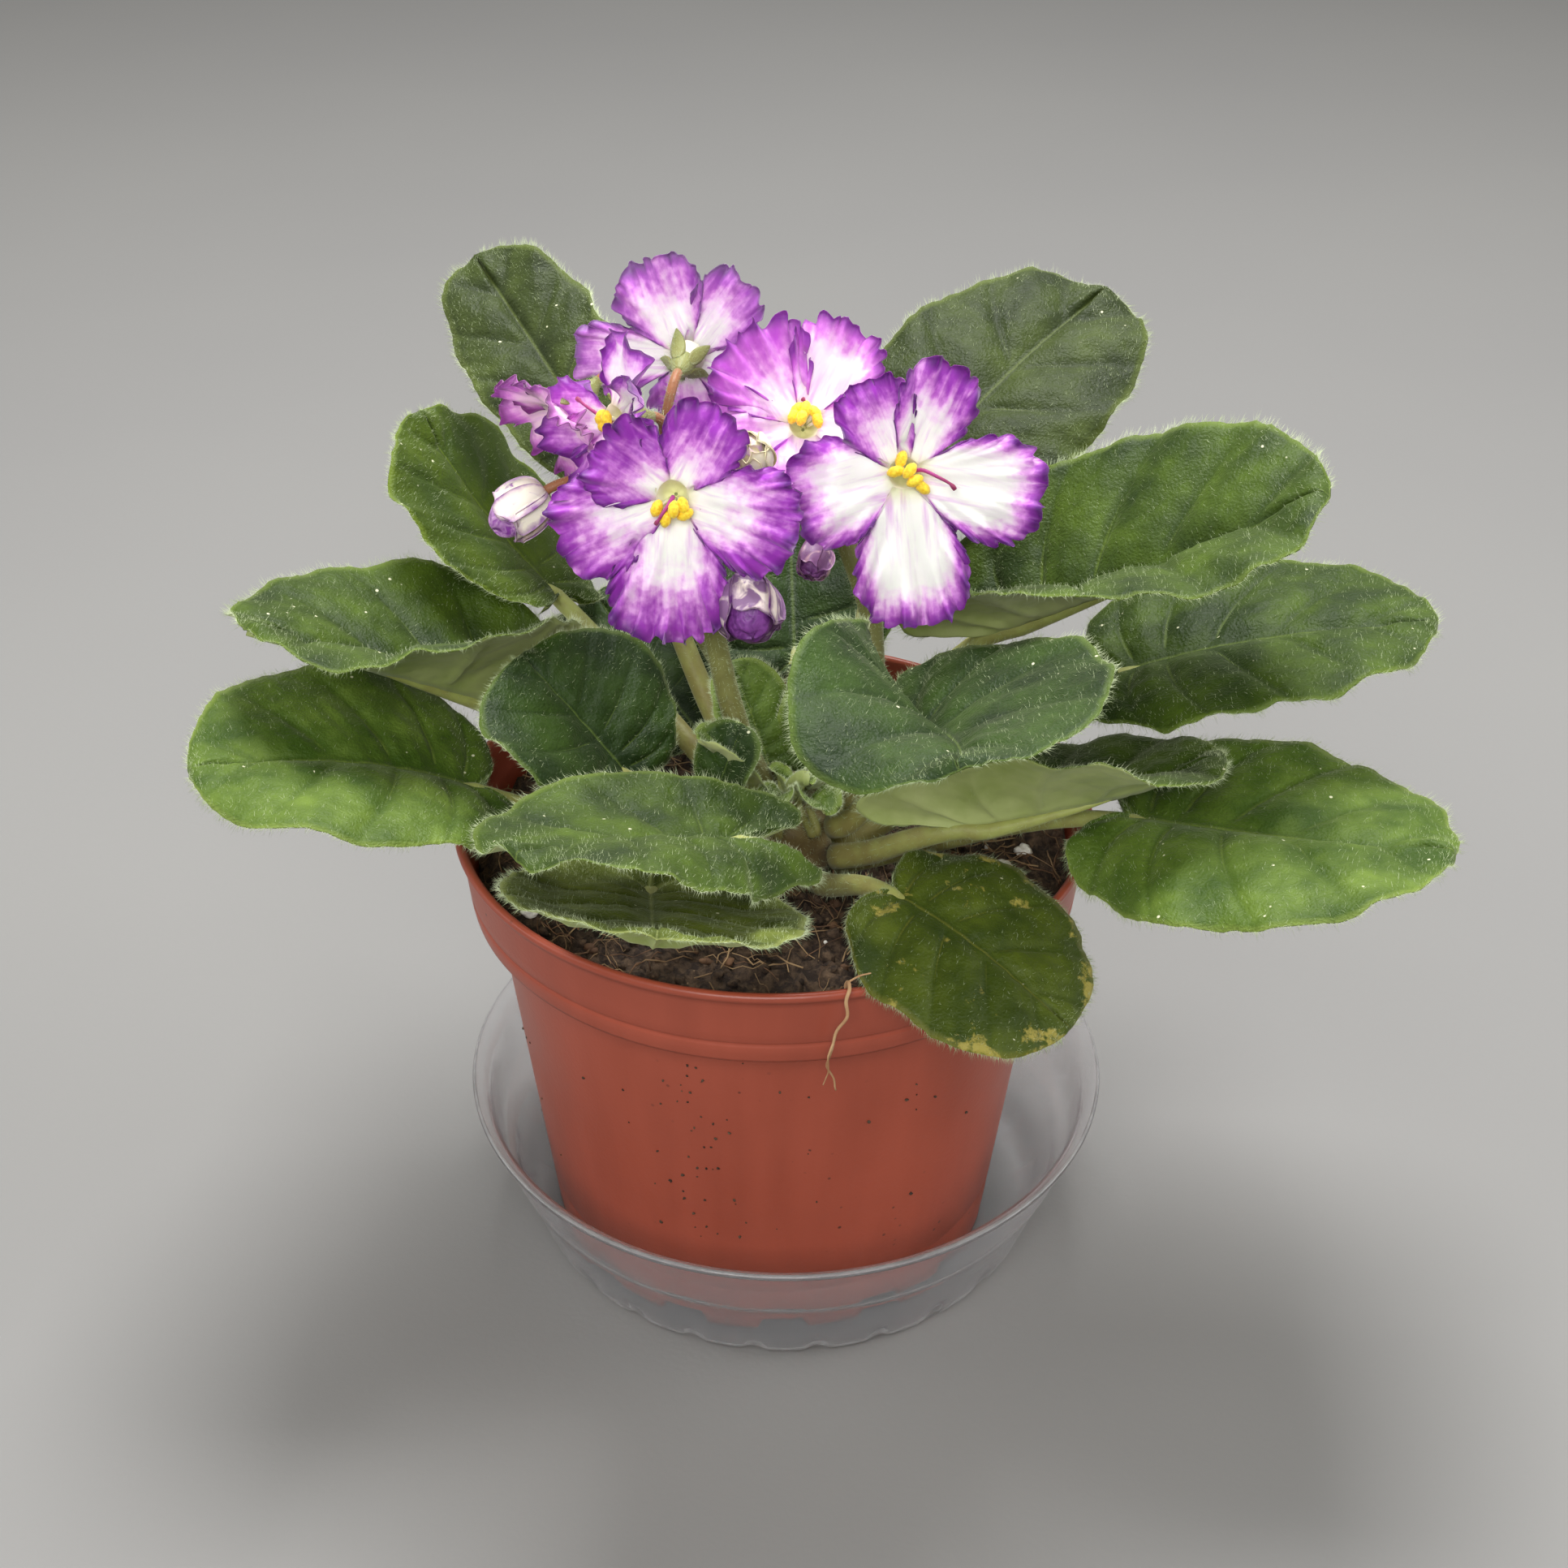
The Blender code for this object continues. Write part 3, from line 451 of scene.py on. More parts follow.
@dataclass
class Leaf:
    """A blade on its petiole. Left and right are seen from the crown, looking to the tip.

    Angles are in degrees, and pairs are left and right.
    """

    name: str
    base: tuple  # where the blade starts
    heading: float
    rise: float
    length: float
    width: float
    tier: float  # height of the petiole's foot on the crown, in steps
    bend: float = -10  # change of rise from base to tip
    sweep: float = 0  # change of heading from base to tip
    roll: float = 0  # turn about the midrib
    fold: tuple = (12, 12)  # how steeply each half leaves the midrib
    curl: tuple = (4, 4)  # how much each half turns on from there to its margin
    lobe: tuple = (0.14, 0.14)  # reach of each half behind the base, as a share of the length
    widest: float = 0.4  # share of the length at which it is widest
    flatten: float = 0.5  # how much of fold and curl is gone at the tip
    petiole: float = PETIOLE_R
    wave: float = 0.9  # height of the margin's waves
    blunt: float = 2.9  # the higher, the rounder the tip
    rim_lift: tuple = (0, 0)  # how far each half's margin is raised
    look: str = "deep"
    seed: int = 0

    def __post_init__(self):
        self.base = np.array(self.base, float)
        self.roll = math.radians(self.roll)
        self.fold = np.array(self.fold, float)
        self.curl = np.array(self.curl, float)
        middle = (np.arange(LINE_STEPS) + 0.5) / LINE_STEPS
        run = np.cumsum(self.direction(middle) * (self.length / LINE_STEPS), axis=0)
        self.line_s = np.linspace(0, 1, LINE_STEPS + 1)
        self.line = self.base + np.concatenate([np.zeros((1, 3)), run])

    def direction(self, s):
        return heading_vector(self.heading + self.sweep * s, self.rise + self.bend * s)

    def midrib(self, s):
        return np.stack([np.interp(s, self.line_s, column) for column in self.line.T], axis=-1)

    def half_width(self, s):
        wide_end = (self.widest - s) / (self.widest + BASE_SPREAD)
        tip_end = np.clip((s - self.widest) / (1 - self.widest), 0, 1)
        shape = np.where(s < self.widest, 1 - wide_end ** 2, 1 - tip_end ** self.blunt)
        return self.width / 2 * np.sqrt(np.maximum(shape, 0))

    def frame(self, s):
        ahead = self.direction(s)
        h = np.radians(self.heading + self.sweep * s)
        level = np.stack([-np.sin(h), np.cos(h), 0 * h], axis=-1)
        above = np.cross(ahead, level)
        side = level * math.cos(self.roll) + above * math.sin(self.roll)
        up = above * math.cos(self.roll) - level * math.sin(self.roll)
        return ahead, side, up

    def half_outline(self, which):
        """Flat outline of one side, x ahead of the petiole and y out, with the scallops of its teeth."""
        t = np.linspace(0, 1, 40)[:-1]
        back = self.lobe[which] * self.length * np.sin(math.pi * t) ** 0.55
        s = np.sin(np.linspace(0, math.pi / 2, 90))
        lobe = np.stack([-back, (t + 0.12 * np.sin(math.pi * t)) * self.half_width(np.zeros(1))], axis=1)
        side = np.stack([s * self.length, self.half_width(s)], axis=1)
        line = evenly(np.concatenate([lobe, side]), RIM_STEPS)
        mirror = np.array((1.0, -1.0))
        for _ in range(MARGIN_ROUNDING):
            wide = np.concatenate([line[1:2] * mirror, line, line[-2:-1] * mirror])
            line = (wide[:-2] + 2 * wide[1:-1] + wide[2:]) / 4
        step = np.linalg.norm(np.diff(line, axis=0), axis=1).sum() / RIM_STEPS
        arc = np.arange(RIM_STEPS + 1) * step
        out = unit(np.gradient(line, axis=0)) @ np.array([[0.0, -1.0], [1.0, 0.0]])
        tooth = np.abs(np.sin(math.pi * arc / TOOTH + self.seed)) - 0.6
        lobing = ripple(self.seed + 5 + which, 17.0, arc[:, None])
        fade = np.sin(math.pi * np.clip(np.arange(RIM_STEPS + 1) / RIM_STEPS, 0, 1)) ** 0.3
        size = self.length / TYPICAL_LEAF
        line += out * ((0.2 * tooth + 0.4 * lobing) * fade * size)[:, None]
        return line, arc

    def placed(self, flat_x, flat_y):
        """Points in space of flat blade points, folded about the midrib and curled along each side."""
        s = np.clip(flat_x / self.length, 0, 1)
        ahead, side, up = self.frame(s)
        which = np.where(flat_y >= 0, 0, 1)
        flat = 1 - self.flatten * s
        fold = np.radians(self.fold[which] * flat)
        curl = np.radians(self.curl[which] * flat)
        curl = np.where(np.abs(curl) < 0.01, 0.01, curl)
        reach = np.maximum(self.half_width(s), 0.3 * self.width / 2)
        out = np.abs(flat_y) / reach
        across = (np.sin(fold + curl * out) - np.sin(fold)) / curl
        lift = (np.cos(fold) - np.cos(fold + curl * out)) / curl
        past = (flat_x - s * self.length)[..., None]
        return (self.midrib(s) + ahead * past + side * (np.sign(flat_y) * across * reach)[..., None]
                + up * (lift * reach)[..., None])

    def blade(self):
        """Middle surface of the blade, with its vein and margin values and its relief."""
        rib = np.linspace(0, 1, RIB_STEPS + 1)[None, :, None]
        a = np.linspace(0, 1, RIM_STEPS + 1)
        outlines = [self.half_outline(0), self.half_outline(1)]
        tip = min(edge[-1, 0] for edge, _ in outlines)
        foot = np.stack([(tip - 0.8) * a ** 2.3, 0 * a], axis=1)[:, None]
        halves = []
        for which, sign in ((1, -1.0), (0, 1.0)):
            edge, arc = outlines[which]
            edge[-1] = tip, 0.0
            flat = foot * (1 - rib) + edge[:, None] * rib
            bow = 0.1 * edge[:, 1][:, None] * np.sin(math.pi * rib[..., 0]) * (1 - a[:, None]) ** 0.5
            flat[..., 0] -= bow
            spread = np.linalg.norm(np.gradient(flat, axis=0), axis=-1) * RIM_STEPS
            phase = a * (VEIN_PAIRS + 0.5) + 0.15
            off = np.abs(phase - np.round(phase))[:, None] / (VEIN_PAIRS + 0.5) * spread
            flat[..., 1] *= sign
            order = slice(None, None, -1) if sign < 0 else slice(1, None)
            halves.append([part[:, order] for part in (flat, off, 0 * off + rib[..., 0])]
                          + [np.repeat((arc * sign)[:, None], RIB_STEPS + 1, 1)[:, order]])
        flat, off, rho, arc = (np.concatenate([left, right], axis=1) for left, right in zip(*halves))
        return flat, off, rho, arc

    def relief(self, flat, off, rho, arc):
        """Height of the upper side over the middle, and how strongly each point is a vein."""
        size = self.length / TYPICAL_LEAF
        s = np.clip(flat[..., 0] / self.length, 0, 1)
        middle = np.abs(flat[..., 1])
        lateral = np.exp(-(off / (0.75 * size)) ** 2) * (1 - 0.6 * rho ** 2)
        spine = np.exp(-(middle / (1.2 * size * (1 - 0.6 * s))) ** 2)
        vein = np.maximum(lateral * smoothstep(0.02, 0.15, rho), spine)
        quilt = np.sqrt(np.clip(off / (4.5 * size), 0, 1)) * (1 - rho ** 4) * smoothstep(0.0, 0.25, rho)
        pillows = ripple(self.seed + 11, 4.6, flat) * 0.16 + ripple(self.seed + 12, 2.6, flat) * 0.07
        height = size * (1.15 * quilt - 0.35 * vein) + pillows * (1 - 0.5 * vein)
        run = np.stack([arc, 0 * arc], axis=-1)
        roll = ripple(self.seed + 3, 17.0, run) * rho ** 3 * self.wave
        roll += ripple(self.seed + 4, 7.5, run) * rho ** 6 * self.wave * 0.4
        # near the tip both edges run together, so the roll dies out there
        centre = flat.shape[1] // 2
        reach = np.linalg.norm(flat - flat[:, centre:centre + 1], axis=-1)
        roll *= smoothstep(0.0, 0.16 * self.length, reach)
        spoke = np.where(np.arange(flat.shape[1]) < centre, reach[:, :1], reach[:, -1:])
        inset = np.minimum(spoke * (1 - rho), flat[..., 0].max() - flat[..., 0])
        left, right = self.rim_lift
        lift = right + (left - right) * smoothstep(-3.0, 3.0, flat[..., 1])
        roll += lift * (1 - smoothstep(0.0, 0.22 * self.length, inset))
        return height, roll, vein

    def petiole_path(self):
        """The same run as the CAD petiole's, from the crown's side to under the midrib."""
        out = unit(np.array((self.base[0] - CROWN[0], self.base[1] - CROWN[1], 0.0)))
        radius = CROWN_R + GAP + self.petiole * 0.4
        start = np.array((CROWN[0], CROWN[1], TIER_Z + TIER_STEP * self.tier)) + out * radius
        span = np.linalg.norm(self.base - start)
        leave = unit(out + np.array((0.0, 0.0, 0.35)))
        below = np.array((0.0, 0.0, 0.8))
        ahead = self.direction(np.zeros(1))[0]
        points = bezier(start, start + leave * span * 0.35, self.base - ahead * span * 0.35 - below,
                        self.base - below, 14)
        along = np.array((0.07, 0.2, 0.42, 0.62))
        sunk = np.array((0.68, 0.56, 0.36, 0.14)) * self.petiole + 0.1
        under = self.midrib(along) - self.frame(along)[2] * sunk[:, None]
        return evenly(np.concatenate([points, under]), 26)


def build_leaf(leaf, upper, lower, down, stem, nodes):
    """One leaf with its blade, scalloped edge, petiole and down."""
    flesh = Tissue(upper, lower, down, stem)
    step = 2 if leaf.length < SMALL_LEAF else 1
    flat, off, rho, arc = (part[::step, ::step] for part in leaf.blade())
    height, roll, vein = leaf.relief(flat, off, rho, arc)
    middle = leaf.placed(flat[..., 0], flat[..., 1])
    normals = grid_normals(middle)
    facing = leaf.frame(np.array((0.4,)))[2][0]
    if (normals[len(flat) // 2, flat.shape[1] // 2] @ facing) < 0:
        normals = -normals
    normals[0] = normals[1]
    normals[-1] = normals[-2]
    middle = middle + normals * roll[..., None]
    thick = BLADE_THICK * leaf.length / TYPICAL_LEAF * (1 - 0.75 * rho ** 3)
    rim = (1 - rho) * leaf.width / 2
    top = middle + normals * (height + thick / 2)[..., None]
    under = middle + normals * (0.8 * height - thick / 2 - 0.35 * vein * (1 - rho))[..., None]
    above = flesh.grid(top, UPPER, vein=vein, rim=rim)
    below = flesh.grid(under, LOWER, flip=True, vein=vein, rim=rim)
    for column in (0, -1):
        lines = (above[:, column], below[:, column])
        flesh.band(*(lines if column else lines[::-1]), surface=UPPER)
    path = leaf.petiole_path()
    run = np.linspace(0, 1, len(path))
    bend = len(path) - 1 - np.linalg.norm(path - leaf.midrib(np.zeros(1)), axis=1)[::-1].argmin()
    radii = leaf.petiole * np.interp(run, (0, bend / (len(path) - 1), 1.0), (1.0, 0.72, 0.1))
    walls, ring = flesh.tube(path, radii, 14, STALK)
    grow_down(flesh, leaf, top, under, middle, normals, walls, ring)
    return flesh.piece(leaf.name, nodes, merge=0.005)


def grow_down(flesh, leaf, top, under, middle, normals, walls, ring):
    """Down on a leaf: a fringe round the margin and a nap on both sides and the petiole."""
    rng = np.random.default_rng(SEED + leaf.seed)
    size = (leaf.length / TYPICAL_LEAF) ** 0.5
    rows = len(top) - 1
    half = top.shape[1] // 2
    for column, inner in ((0, 2), (-1, -3)):
        count = int(FRINGE[0] * size)
        at = rng.uniform(1.5, rows - 1.5, count)
        low = at.astype(int)
        part = (at - low)[:, None]
        edge = (top[:, column] + under[:, column]) / 2
        out = unit(edge - middle[:, inner])
        roots = edge[low] * (1 - part) + edge[low + 1] * part
        lean = rng.normal(scale=0.45, size=(count, 1)) * normals[low, column]
        flesh.hairs(roots, out[low] + lean, rng.uniform(*FRINGE[1], count) * size, HAIR,
                    seed=leaf.seed + 20 + column)
    for sheet, sign, (count, lengths) in ((top, 1.0, UPPER_NAP), (under, -1.0, LOWER_NAP)):
        count = int(count * size * size)
        row = rng.integers(1, rows - 1, count)
        column = np.clip(half + half * np.sqrt(rng.uniform(size=count)) * rng.choice((-1, 1), count),
                         0, 2 * half - 1).astype(int)
        part = rng.uniform(size=(count, 1))
        roots = sheet[row, column] * (1 - part) + sheet[row + 1, column + 1] * part
        flesh.hairs(roots, normals[row, column] * sign, rng.uniform(*lengths, count), HAIR, width=0.026,
                    bend=0.4, seed=leaf.seed + 30)
    count = int(PETIOLE_DOWN[0] * size)
    row = rng.integers(0, len(walls) - 6, count)
    column = rng.integers(0, walls.shape[1], count)
    part = rng.uniform(size=(count, 1))
    roots = walls[row, column] * (1 - part) + walls[row + 1, column] * part
    flesh.hairs(roots, ring[row, column], rng.uniform(*PETIOLE_DOWN[1], count), HAIR, bend=0.3,
                seed=leaf.seed + 40)


LEAVES = [
    Leaf("leaf_back_left", (-33, 41, 148), 121, 24, 58, 29, 2.4, bend=-5, roll=-24, fold=(8, 14),
         look="grey"),
    Leaf("leaf_back_right", (28, 36, 147), 52, 24, 60, 47, 2, sweep=-10, roll=7, fold=(11, 3),
         curl=(0, -11), widest=0.33, look="grey"),
    Leaf("leaf_upper_left", (-43, 40, 118), 147, 32, 45, 52, 1.2, bend=22, roll=11, fold=(11, 0),
         curl=(0, -17), lobe=(0.06, 0.14), look="bright"),
    Leaf("leaf_folded_left", (-48, 14, 107), 208, 31, 61, 60, 0, bend=2, sweep=5, roll=5, fold=(63, 34),
         curl=(8, 33), lobe=(0.2, 0.14), widest=0.33, flatten=1.05, blunt=2.0),
    Leaf("leaf_low_left", (-54, -13, 106.6), 196, 31, 52, 56, 0, bend=-36, roll=2, fold=(8, 10),
         curl=(-15, 5), lobe=(0.2, 0.1), widest=0.35, flatten=0.2, look="fresh"),
    Leaf("leaf_inner_left", (-26, -17, 112), 158, 48, 29, 45, 2, bend=-13, sweep=-10, fold=(6, 12),
         wave=1.2, look="blue_shaded"),
    Leaf("leaf_back_middle", (4, 24, 112), 92, 34, 56, 50, 1, bend=-14, look="blue_shaded"),
    Leaf("leaf_back_low_left", (-14, 19, 97.5), 122, 15, 45, 35, 0, bend=0, fold=(0, 5),
         lobe=(0.06, 0.1), look="blue_shaded"),
    Leaf("leaf_heart", (-10, -21.5, 111.6), 47, 64, 13, 15, 3, bend=-13, fold=(4, 14), widest=0.45,
         petiole=1.3, wave=0.5, look="blue_shaded"),
    Leaf("leaf_arched_front", (-6, -49, 120), 208, 21, 45, 46, 1, bend=-6, sweep=19, roll=29,
         fold=(-7, 21), curl=(-49, 32), lobe=(0.29, 0.4), flatten=0.85, wave=0.8, rim_lift=(-1.5, 1.5)),
    Leaf("leaf_low_front", (-21, -44, 106), -86, 21, 48, 50, 0, bend=6, roll=-11, fold=(3, -2),
         curl=(0, 0), flatten=0.45, wave=0.4, rim_lift=(2.6, 2.6), look="yellow"),
    Leaf("leaf_over_rim", (21, -38, 101.4), -35, -8, 39, 42, 0, bend=-27, fold=(4, 0), curl=(-2, -21),
         lobe=(0.1, 0.1), widest=0.38, wave=0.6, look="old"),
    Leaf("leaf_low_right", (64, -24, 108), -32, 11, 57, 60, 0, bend=-3, sweep=10, roll=-12,
         fold=(16, 2), curl=(13, -50), widest=0.37, flatten=0.95, petiole=2.0, look="fresh"),
    Leaf("leaf_mid_right", (65, 10, 118), -3, 22, 58, 53, 0, bend=-16, sweep=-10, roll=-7,
         fold=(15, 1), curl=(11, -15), lobe=(0.11, 0.11), widest=0.27, flatten=0.6),
    Leaf("leaf_upper_right", (41, 10, 127), -22, 31, 69, 60, 2, bend=6, roll=19, fold=(20, 61),
         curl=(17, 4), lobe=(0.14, 0.2), widest=0.31, flatten=0.85),
    Leaf("leaf_heart_right", (23, -26, 128), -66, 28, 51, 57, 3, bend=-8, sweep=-35, roll=18,
         fold=(15, 86), curl=(0, 14), lobe=(0.39, 0.18), flatten=1.15, wave=1.1, look="blue_shaded"),
    Leaf("leaf_edge_on_right", (33, -28, 109), 3, 8, 48, 49, 1, bend=14, roll=-21, fold=(26, 55),
         curl=(6, -11), lobe=(0.17, 0.4), flatten=1.0, petiole=2.5),
]

# upper side dark, upper side light, veins and edge, lower side, veins of the lower side; the lower side's
# tones are lightened as painted light shining through the blade
LEAF_LOOKS = {
    "deep": ("#1E3003", "#465B12", "#809440", "#909F52", "#B3BC7D"),
    "grey": ("#1E2907", "#3D4A17", "#758340", "#7A8750", "#9AA573"),
    "bright": ("#2A3C03", "#455706", "#83982B", "#879740", "#A9B462"),
    "fresh": ("#30470B", "#62782B", "#97A951", "#9FAE5D", "#BBC482"),
    # this look's tones are darkened past the leaves' own green as painted shade, for leaves that stand in the
    # plant's shade
    "blue_shaded": ("#142705", "#314811", "#778D3E", "#8FA154", "#B3BF7A"),
    "yellow": ("#354007", "#6B772A", "#B4BC72", "#7F8E38", "#A3B060"),
    "old": ("#2A3905", "#525F15", "#8D8839", "#7E893A", "#A29F5A"),
}


def build_leaves():
    down = down_surface()
    stem = stem_surface("petiole_skin", "#847C44", "#A0A85C")
    skins = {}
    for look, (dark, light, edge, under, under_vein) in LEAF_LOOKS.items():
        skins[look] = (leaf_upper_skin("leaf_upper_skin_" + look, dark, light, edge, look == "old"),
                       leaf_lower_skin("leaf_lower_skin_" + look, under, under_vein))
    for number, leaf in enumerate(LEAVES):
        leaf.seed = 100 * (number + 1)
        upper, lower = skins[leaf.look]
        build_leaf(leaf, upper, lower, down, stem, [leaf.name])
    return skins, down, stem


# ---------------------------------------------------------------- flowers

PETAL_SPOKES = 110
PETAL_ROWS = 14
PETAL_THICK = 0.28
CALYX_LENGTH = 5.0
PEDICEL_R = 0.9
STALK_RING = 1.55
PETAL_TURN = 150  # degrees of its outline's oval on each side
PETAL_LAYERS = (0.35, 0.0, 0.2, -0.15, 0.5)  # how far forward each petal stands, so that they overlap
FRONT, BACK, THROAT = range(3)  # surfaces of a corolla
# down of a stalk: number of hairs and their lengths
PEDUNCLE_DOWN = (1500, (0.7, 1.6))
PEDICEL_DOWN = (420, (0.6, 1.3))
CALYX_DOWN = (160, (0.6, 1.2))
BUD_STALK_DOWN = (320, (0.5, 1.2))
CROWN_DOWN = (900, (0.6, 1.4))
SEPAL_DOWN = (60, (0.6, 1.3))


class Flower:
    """An open flower facing a heading and rise, with five ruffled petals round a throat.

    Each petal is its angle clockwise from the top, length, width, width of its violet edge, how far it
    leans forward at its tip and how far its sides fold forward.
    """

    def __init__(self, name, centre, heading, rise, petals, cup, look="violet", seed=0):
        self.name = name
        self.centre = np.array(centre, float)
        self.axis = heading_vector(heading, rise)
        self.right = unit(np.cross((0.0, 0.0, 1.0), self.axis))
        self.up = np.cross(self.axis, self.right)
        self.petals = petals
        self.cup = cup
        self.look = look
        self.seed = seed

    def place(self, across, above, height):
        return (self.centre + self.right * across[..., None] + self.up * above[..., None]
                + self.axis * height[..., None])

    def petal(self, number):
        """Middle surface of one petal and its values: mm from the margin, across and along. The margin value
        also drops where the ruffles stand forward, which paints shade on their folds.
        """
        angle, length, width, band, lean, fold = self.petals[number]
        seed = SEED + 10 * self.seed + number
        t = np.linspace(-1, 1, PETAL_SPOKES + 1)
        theta = t * math.radians(PETAL_TURN)
        x = width / 2 * np.sin(theta) * (1 + 0.10 * np.cos(theta)) + 0.9 * np.sign(t) * np.abs(t) ** 6
        y = length * (0.61 + 0.39 * np.cos(theta)) * (1 - 0.05 * np.cos(theta) ** 8)
        line = np.stack([x, y], axis=-1)
        arc = np.r_[0, np.cumsum(np.linalg.norm(np.diff(line, axis=0), axis=1))]
        run = np.stack([arc, 0 * arc], axis=-1)
        free = np.sin(math.pi * (t + 1) / 2) ** 0.4
        frill = free * (width / 19) ** 0.7
        scallop = np.abs(np.sin(math.pi * arc / 4.6 + 0.9 * ripple(seed + 2, 9.0, run))) - 0.6
        tooth = (ripple(seed + 1, 1.7, run) * 0.26 + scallop * 1.25) * frill
        slide = ripple(seed + 6, 2.6, run) * 0.5 * frill
        out = unit(line - np.array((0.0, 0.45 * length)))
        beside = unit(np.gradient(line, axis=0))
        rho = np.linspace(0, 1, PETAL_ROWS + 1)[:, None] ** 0.72
        foot = np.stack([2.2 * t, 2.0 + 0.7 * (1 - t * t)], axis=-1)
        flat = foot * (1 - rho[..., None]) + line * rho[..., None] + out * (tooth * rho ** 5)[..., None]
        flat += beside * (slide * rho ** 6)[..., None]
        wave = ripple(seed + 3, 5.2, run) * rho ** 3 * 2.2 + ripple(seed + 4, 2.4, run) * rho ** 6 * 1.15
        wave = (wave + ripple(seed + 7, 1.3, run) * rho ** 12 * 0.3) * frill
        part = flat[..., 1] / length
        wide = np.abs(flat[..., 0]) / (width / 2)
        crease = -0.55 * np.exp(-(flat[..., 0] / 1.1) ** 2) * np.sin(math.pi * np.clip(part, 0, 1))
        swell = ripple(seed + 5, 9.0, flat) * 0.8 * rho
        height = (self.cup * flat[..., 1] + lean * part ** 2 + fold * wide ** 2 * smoothstep(0.1, 0.5, part)
                  + wave + crease + swell)
        height += PETAL_LAYERS[number] * smoothstep(0.15, 0.6, rho)
        a = math.radians(angle)
        across = flat[..., 0] * math.cos(a) + flat[..., 1] * math.sin(a)
        above = flat[..., 1] * math.cos(a) - flat[..., 0] * math.sin(a)
        spoke = np.linalg.norm(line - foot, axis=1)
        # painted shade on the ruffles: where a wave stands forward the value falls, so the violet of the
        # margin deepens there as if shaded
        rim = (1 - rho) * spoke * (0.55 + 0.45 * np.cos(theta / 1.6)) - 0.5 * wave
        values = {"rim": rim, "band": band * smoothstep(-0.05, 0.4, part) + 0.8,
                  "across": flat[..., 0] / width + 3.0 * number, "along": part}
        return self.place(across, above, height), values


# petals: upper right, right, bottom, left, upper left
FLOWERS = [
    Flower("front_right", (22.2, -5, 166), -88, 24, (
        (24, 21, 13.5, 5.4, 1.0, 1.8), (101, 25, 18.5, 3.2, 1.5, -1.0), (176, 27.5, 19.5, 3.6, -1.5, -1.2),
        (256, 21, 19, 4.0, 1.0, -0.6), (-26, 18, 14, 6.4, 1.2, 1.0)), 0.10),
    Flower("front_left", (-17.2, -10, 164), -98, 20, (
        (27, 18, 14.5, 8.6, 0.5, 1.2), (103, 23.5, 18.5, 8.2, 0.5, -1.0), (180, 26, 21, 8.4, -1.5, -1.2),
        (245, 22.5, 18, 8.2, 0.5, -0.8), (-58, 16, 16.5, 9.0, 1.5, 0.5)), 0.12),
    Flower("middle_back", (5.3, 23, 162), -86, 42, (
        (28, 21, 17, 3.6, 0.5, 0.8), (100, 17.5, 16, 5.0, 1.0, 0.5), (182, 15.5, 16, 5.0, 3.0, 1.8),
        (262, 19, 18, 8.2, 0.5, 0.0), (-36, 20.5, 20, 8.2, 0.3, 0.4)), 0.15, look="pink"),
    Flower("top_back", (-16, 32.6, 171), 80, -4, (
        (28, 19.5, 17, 5.4, -1.0, -1.0), (98, 24, 13, 5.4, 1.0, -0.8), (180, 15, 15, 6.0, 0.0, 0.0),
        (250, 21, 15, 5.8, 0.0, -0.8), (324, 18.5, 13, 6.2, -1.0, -1.6)), 0.22),
    Flower("behind_left", (-27.5, 6, 170.5), -136, 12, (
        (52, 18, 7.5, 3.0, 4.5, 2.5), (106, 14, 13, 5.4, 1.0, 0.0), (180, 14, 14, 5.6, 1.0, 0.0),
        (256, 15.5, 14, 6.0, 1.0, 0.0), (24, 19.5, 11.5, 4.0, 1.5, 1.2)), 0.25),
    Flower("fading_left", (-36.8, 14.5, 168), 222, -30, (
        (32, 12.5, 13, 3.0, 0.0, -1.0), (104, 13.5, 14, 3.0, 0.0, -1.0), (180, 14.5, 15, 3.4, 0.0, -1.5),
        (256, 13.5, 14, 3.0, 0.0, -1.0), (328, 12.5, 13, 3.0, 0.0, -1.0)), 0.4, look="fading"),
]

# dark margin, violet band, orchid wash, inside of the petal
PETAL_LOOKS = {
    "violet": ("#460C60", "#9434AA", "#F2A6F4", "#FFF8F8"),
    "pink": ("#702488", "#BC5CC8", "#EC98EE", "#FFDCF6"),
    "fading": ("#641E60", "#B45CB4", "#E6A6DA", "#F4CCDA"),
}


